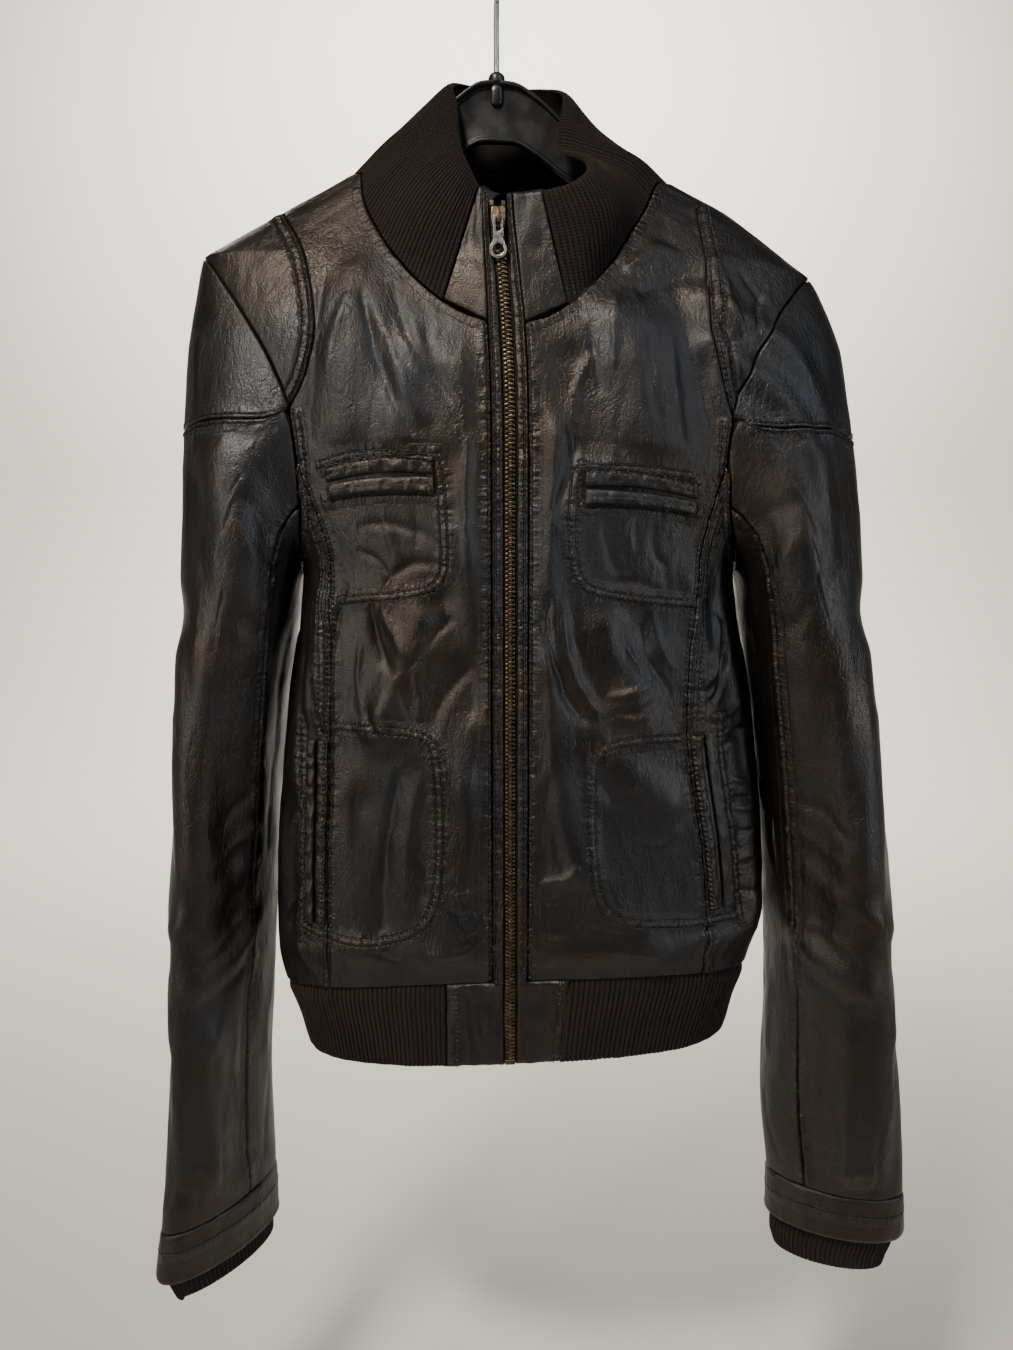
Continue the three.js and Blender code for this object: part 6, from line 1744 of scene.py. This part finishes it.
def stitched(name, lines, out=0.42):
    places = []
    for line, lift_by in lines:
        for row in line.rows:
            u, v = line.beside(row)
            p, n, _, _ = line.surface.points(u, v, out + lift_by)
            run = np.concatenate([[0], np.linalg.norm(np.diff(p, axis=0), axis=1).cumsum()])
            at = np.arange(1.0, run[-1] - 1.0, STITCH)
            q = np.stack([np.interp(at, run, p[:, k]) for k in range(3)], -1)
            m = unit(np.stack([np.interp(at, run, n[:, k]) for k in range(3)], -1))
            way = unit(np.stack([np.interp(at + 1.2, run, p[:, k]) - np.interp(at - 1.2, run, p[:, k]) for k in range(3)], -1))
            side = unit(np.cross(m, way))
            slant = 0.07 * ripple(at / 2.3, row)[:, None]
            way = unit(way + side * slant)
            places += [(a, np.stack([b, c, d])) for a, b, c, d in zip(q, way, unit(np.cross(m, way)), m)]
    return many(name, STITCH_POINTS, STITCH_FACES, places, "thread", slot="leather")


stitched("body_stitches", [(line, 0.0) for line in body.lines])
for s, word in SIDES.items():
    stitched(f"sleeve_stitches_{word}", [(line, 0.0) for line in sleeves[s].lines if line.rows])
    stitched(f"cuff_stitches_{word}", [(line, 1.2) for line in wrists[s].lines])
    stitched(f"facing_stitches_{word}", [(line, 0.0) for line in facings[s].lines])
stitched("placket_stitches", [(line, 1.1) for line in front.lines])
stitched("neck_strip_stitches", [(line, 0.0) for line in strip.lines])


# The cut of each sheet in millimetres, width and length, its area where it isn't a rectangle, and what it hangs from
BOTH_SIDES = {
    "front_leather": (146, 700, 0.066, "shoulder_leather"), "shoulder_leather": (86, 234, 0.0074, "hanger_plate"),
    "side_leather": (94, 440, 0.027, "front_leather"), "sleeve_cap_leather": (274, 118, 0.016, "shoulder_leather"),
    "sleeve_upper_leather": (385, 646, 0.132, "sleeve_cap_leather"),
    "sleeve_under_leather": (128, 535, 0.042, "sleeve_upper_leather"),
    "sleeve_hem_leather": (235, 36, None, "sleeve_upper_leather"),
    "cuff_knit": (66 * RIB_PITCH, 66, None, "sleeve_hem_leather"), "hem_block_leather": (43, 64, None, "front_leather"),
    "placket_leather": (10, 480, 0.004, "front_leather"), "zip_tape_woven": (10, 526, 0.0046, "placket_leather"),
    "collar_facing_leather": (37, 84, 0.0019, "placket_leather"), "chest_upper_welt": (70, 12, None, "front_leather"),
    "chest_lower_welt": (70, 11, None, "front_leather"), "side_inner_welt": (10, 117, 0.00105, "front_leather"),
    "side_outer_welt": (11, 117, 0.00115, "side_leather"),
}
ONE = {
    "back_leather": (469, 711, 0.227, "hanger_plate"), "neck_strip_leather": (73, 13, None, "back_leather"),
    "collar_knit": (137 * RIB_PITCH, 81, None, "back_leather"), "hem_knit": (HEM_RIBS * RIB_PITCH, 62, None, "back_leather"),
}


def declare(cut, word=""):
    width, length, area, above = cut
    above = above if above in ("hanger_plate", "back_leather") else above + word


for name, cut in ONE.items():
    declare(cut)
for name, cut in BOTH_SIDES.items():
    for word in SIDES.values():
        declare(cut, f"_{word}")


# Stage, lights and camera
def backdrop():
    """A floor that bends up into a wall well behind the jacket."""
    turn = np.linspace(0, math.pi / 2, 24)
    line = [(-9, -1.06), *[(1.9 + 0.9 * math.sin(t), -0.16 - 0.9 * math.cos(t)) for t in turn], (2.8, 3.2)]
    points = [(x, y, z) for y, z in line for x in (-9, 9)]
    faces = [(2 * k, 2 * k + 1, 2 * k + 3, 2 * k + 2) for k in range(len(line) - 1)]
    mesh = bpy.data.meshes.new("backdrop")
    mesh.from_pydata(points, [], faces)
    mesh.materials.append(materials["backdrop"])
    obj = bpy.data.objects.new("backdrop", mesh)
    collection.objects.link(obj)


backdrop()
scene = bpy.context.scene
world = bpy.data.worlds.new("studio")
scene.world = world
world.use_nodes = True
world.node_tree.nodes["Background"].inputs["Color"].default_value = (0.80, 0.79, 0.77, 1)
world.node_tree.nodes["Background"].inputs["Strength"].default_value = 0.055


def lamp(name, where, at, size, power, colour=(1, 1, 1), spread=180):
    light = bpy.data.lights.new(name, "AREA")
    light.shape, light.size, light.size_y = "RECTANGLE", size[0], size[1]
    light.energy, light.color, light.spread = power, colour, math.radians(spread)
    obj = bpy.data.objects.new(name, light)
    collection.objects.link(obj)
    obj.location = where
    way = np.array(at, float) - np.array(where, float)
    obj.rotation_euler = mathutils.Vector(way).to_track_quat("-Z", "Y").to_euler()


lamp("over_front", (-0.50, -0.92, 0.80), (0, 0, -0.62), (0.32, 0.22), 4.5, (1, 0.90, 0.79), 70)
lamp("over_left", (1.0, -0.8, 0.6), (0, 0, -0.4), (0.12, 0.5), 0.7, (0.74, 0.86, 1.0), 70)
lamp("over_top", (0.1, -0.1, 1.1), (0, 0, -0.2), (0.5, 0.4), 0.7, (1, 0.94, 0.86))
lamp("low_right", (-1.15, -1.0, -0.35), (0, 0, -0.6), (0.09, 0.8), 2.1, (1.0, 0.90, 0.80), 80)
lamp("low_left", (1.3, -0.75, -0.45), (0, 0, -0.6), (0.09, 0.8), 1.4, (0.88, 0.94, 1.0), 80)
lamp("over_back", (-0.5, 1.5, 0.9), (0, 0, -0.4), (0.8, 0.4), 12, (1, 0.96, 0.92))
lamp("on_wall", (0, 1.0, 1.9), (0, 2.8, 0.1), (2.4, 0.8), 175, (1, 0.95, 0.875), 125)

camera = bpy.data.cameras.new("camera")
camera.sensor_fit, camera.sensor_width, camera.lens = "AUTO", 36, 27.04
camera.clip_start = 0.02
eye = bpy.data.objects.new("camera", camera)
eye.location = (0.0062, -0.670, -0.384)
eye.rotation_euler = (math.radians(90 - 7.4), 0, 0)
collection.objects.link(eye)
scene.camera = eye
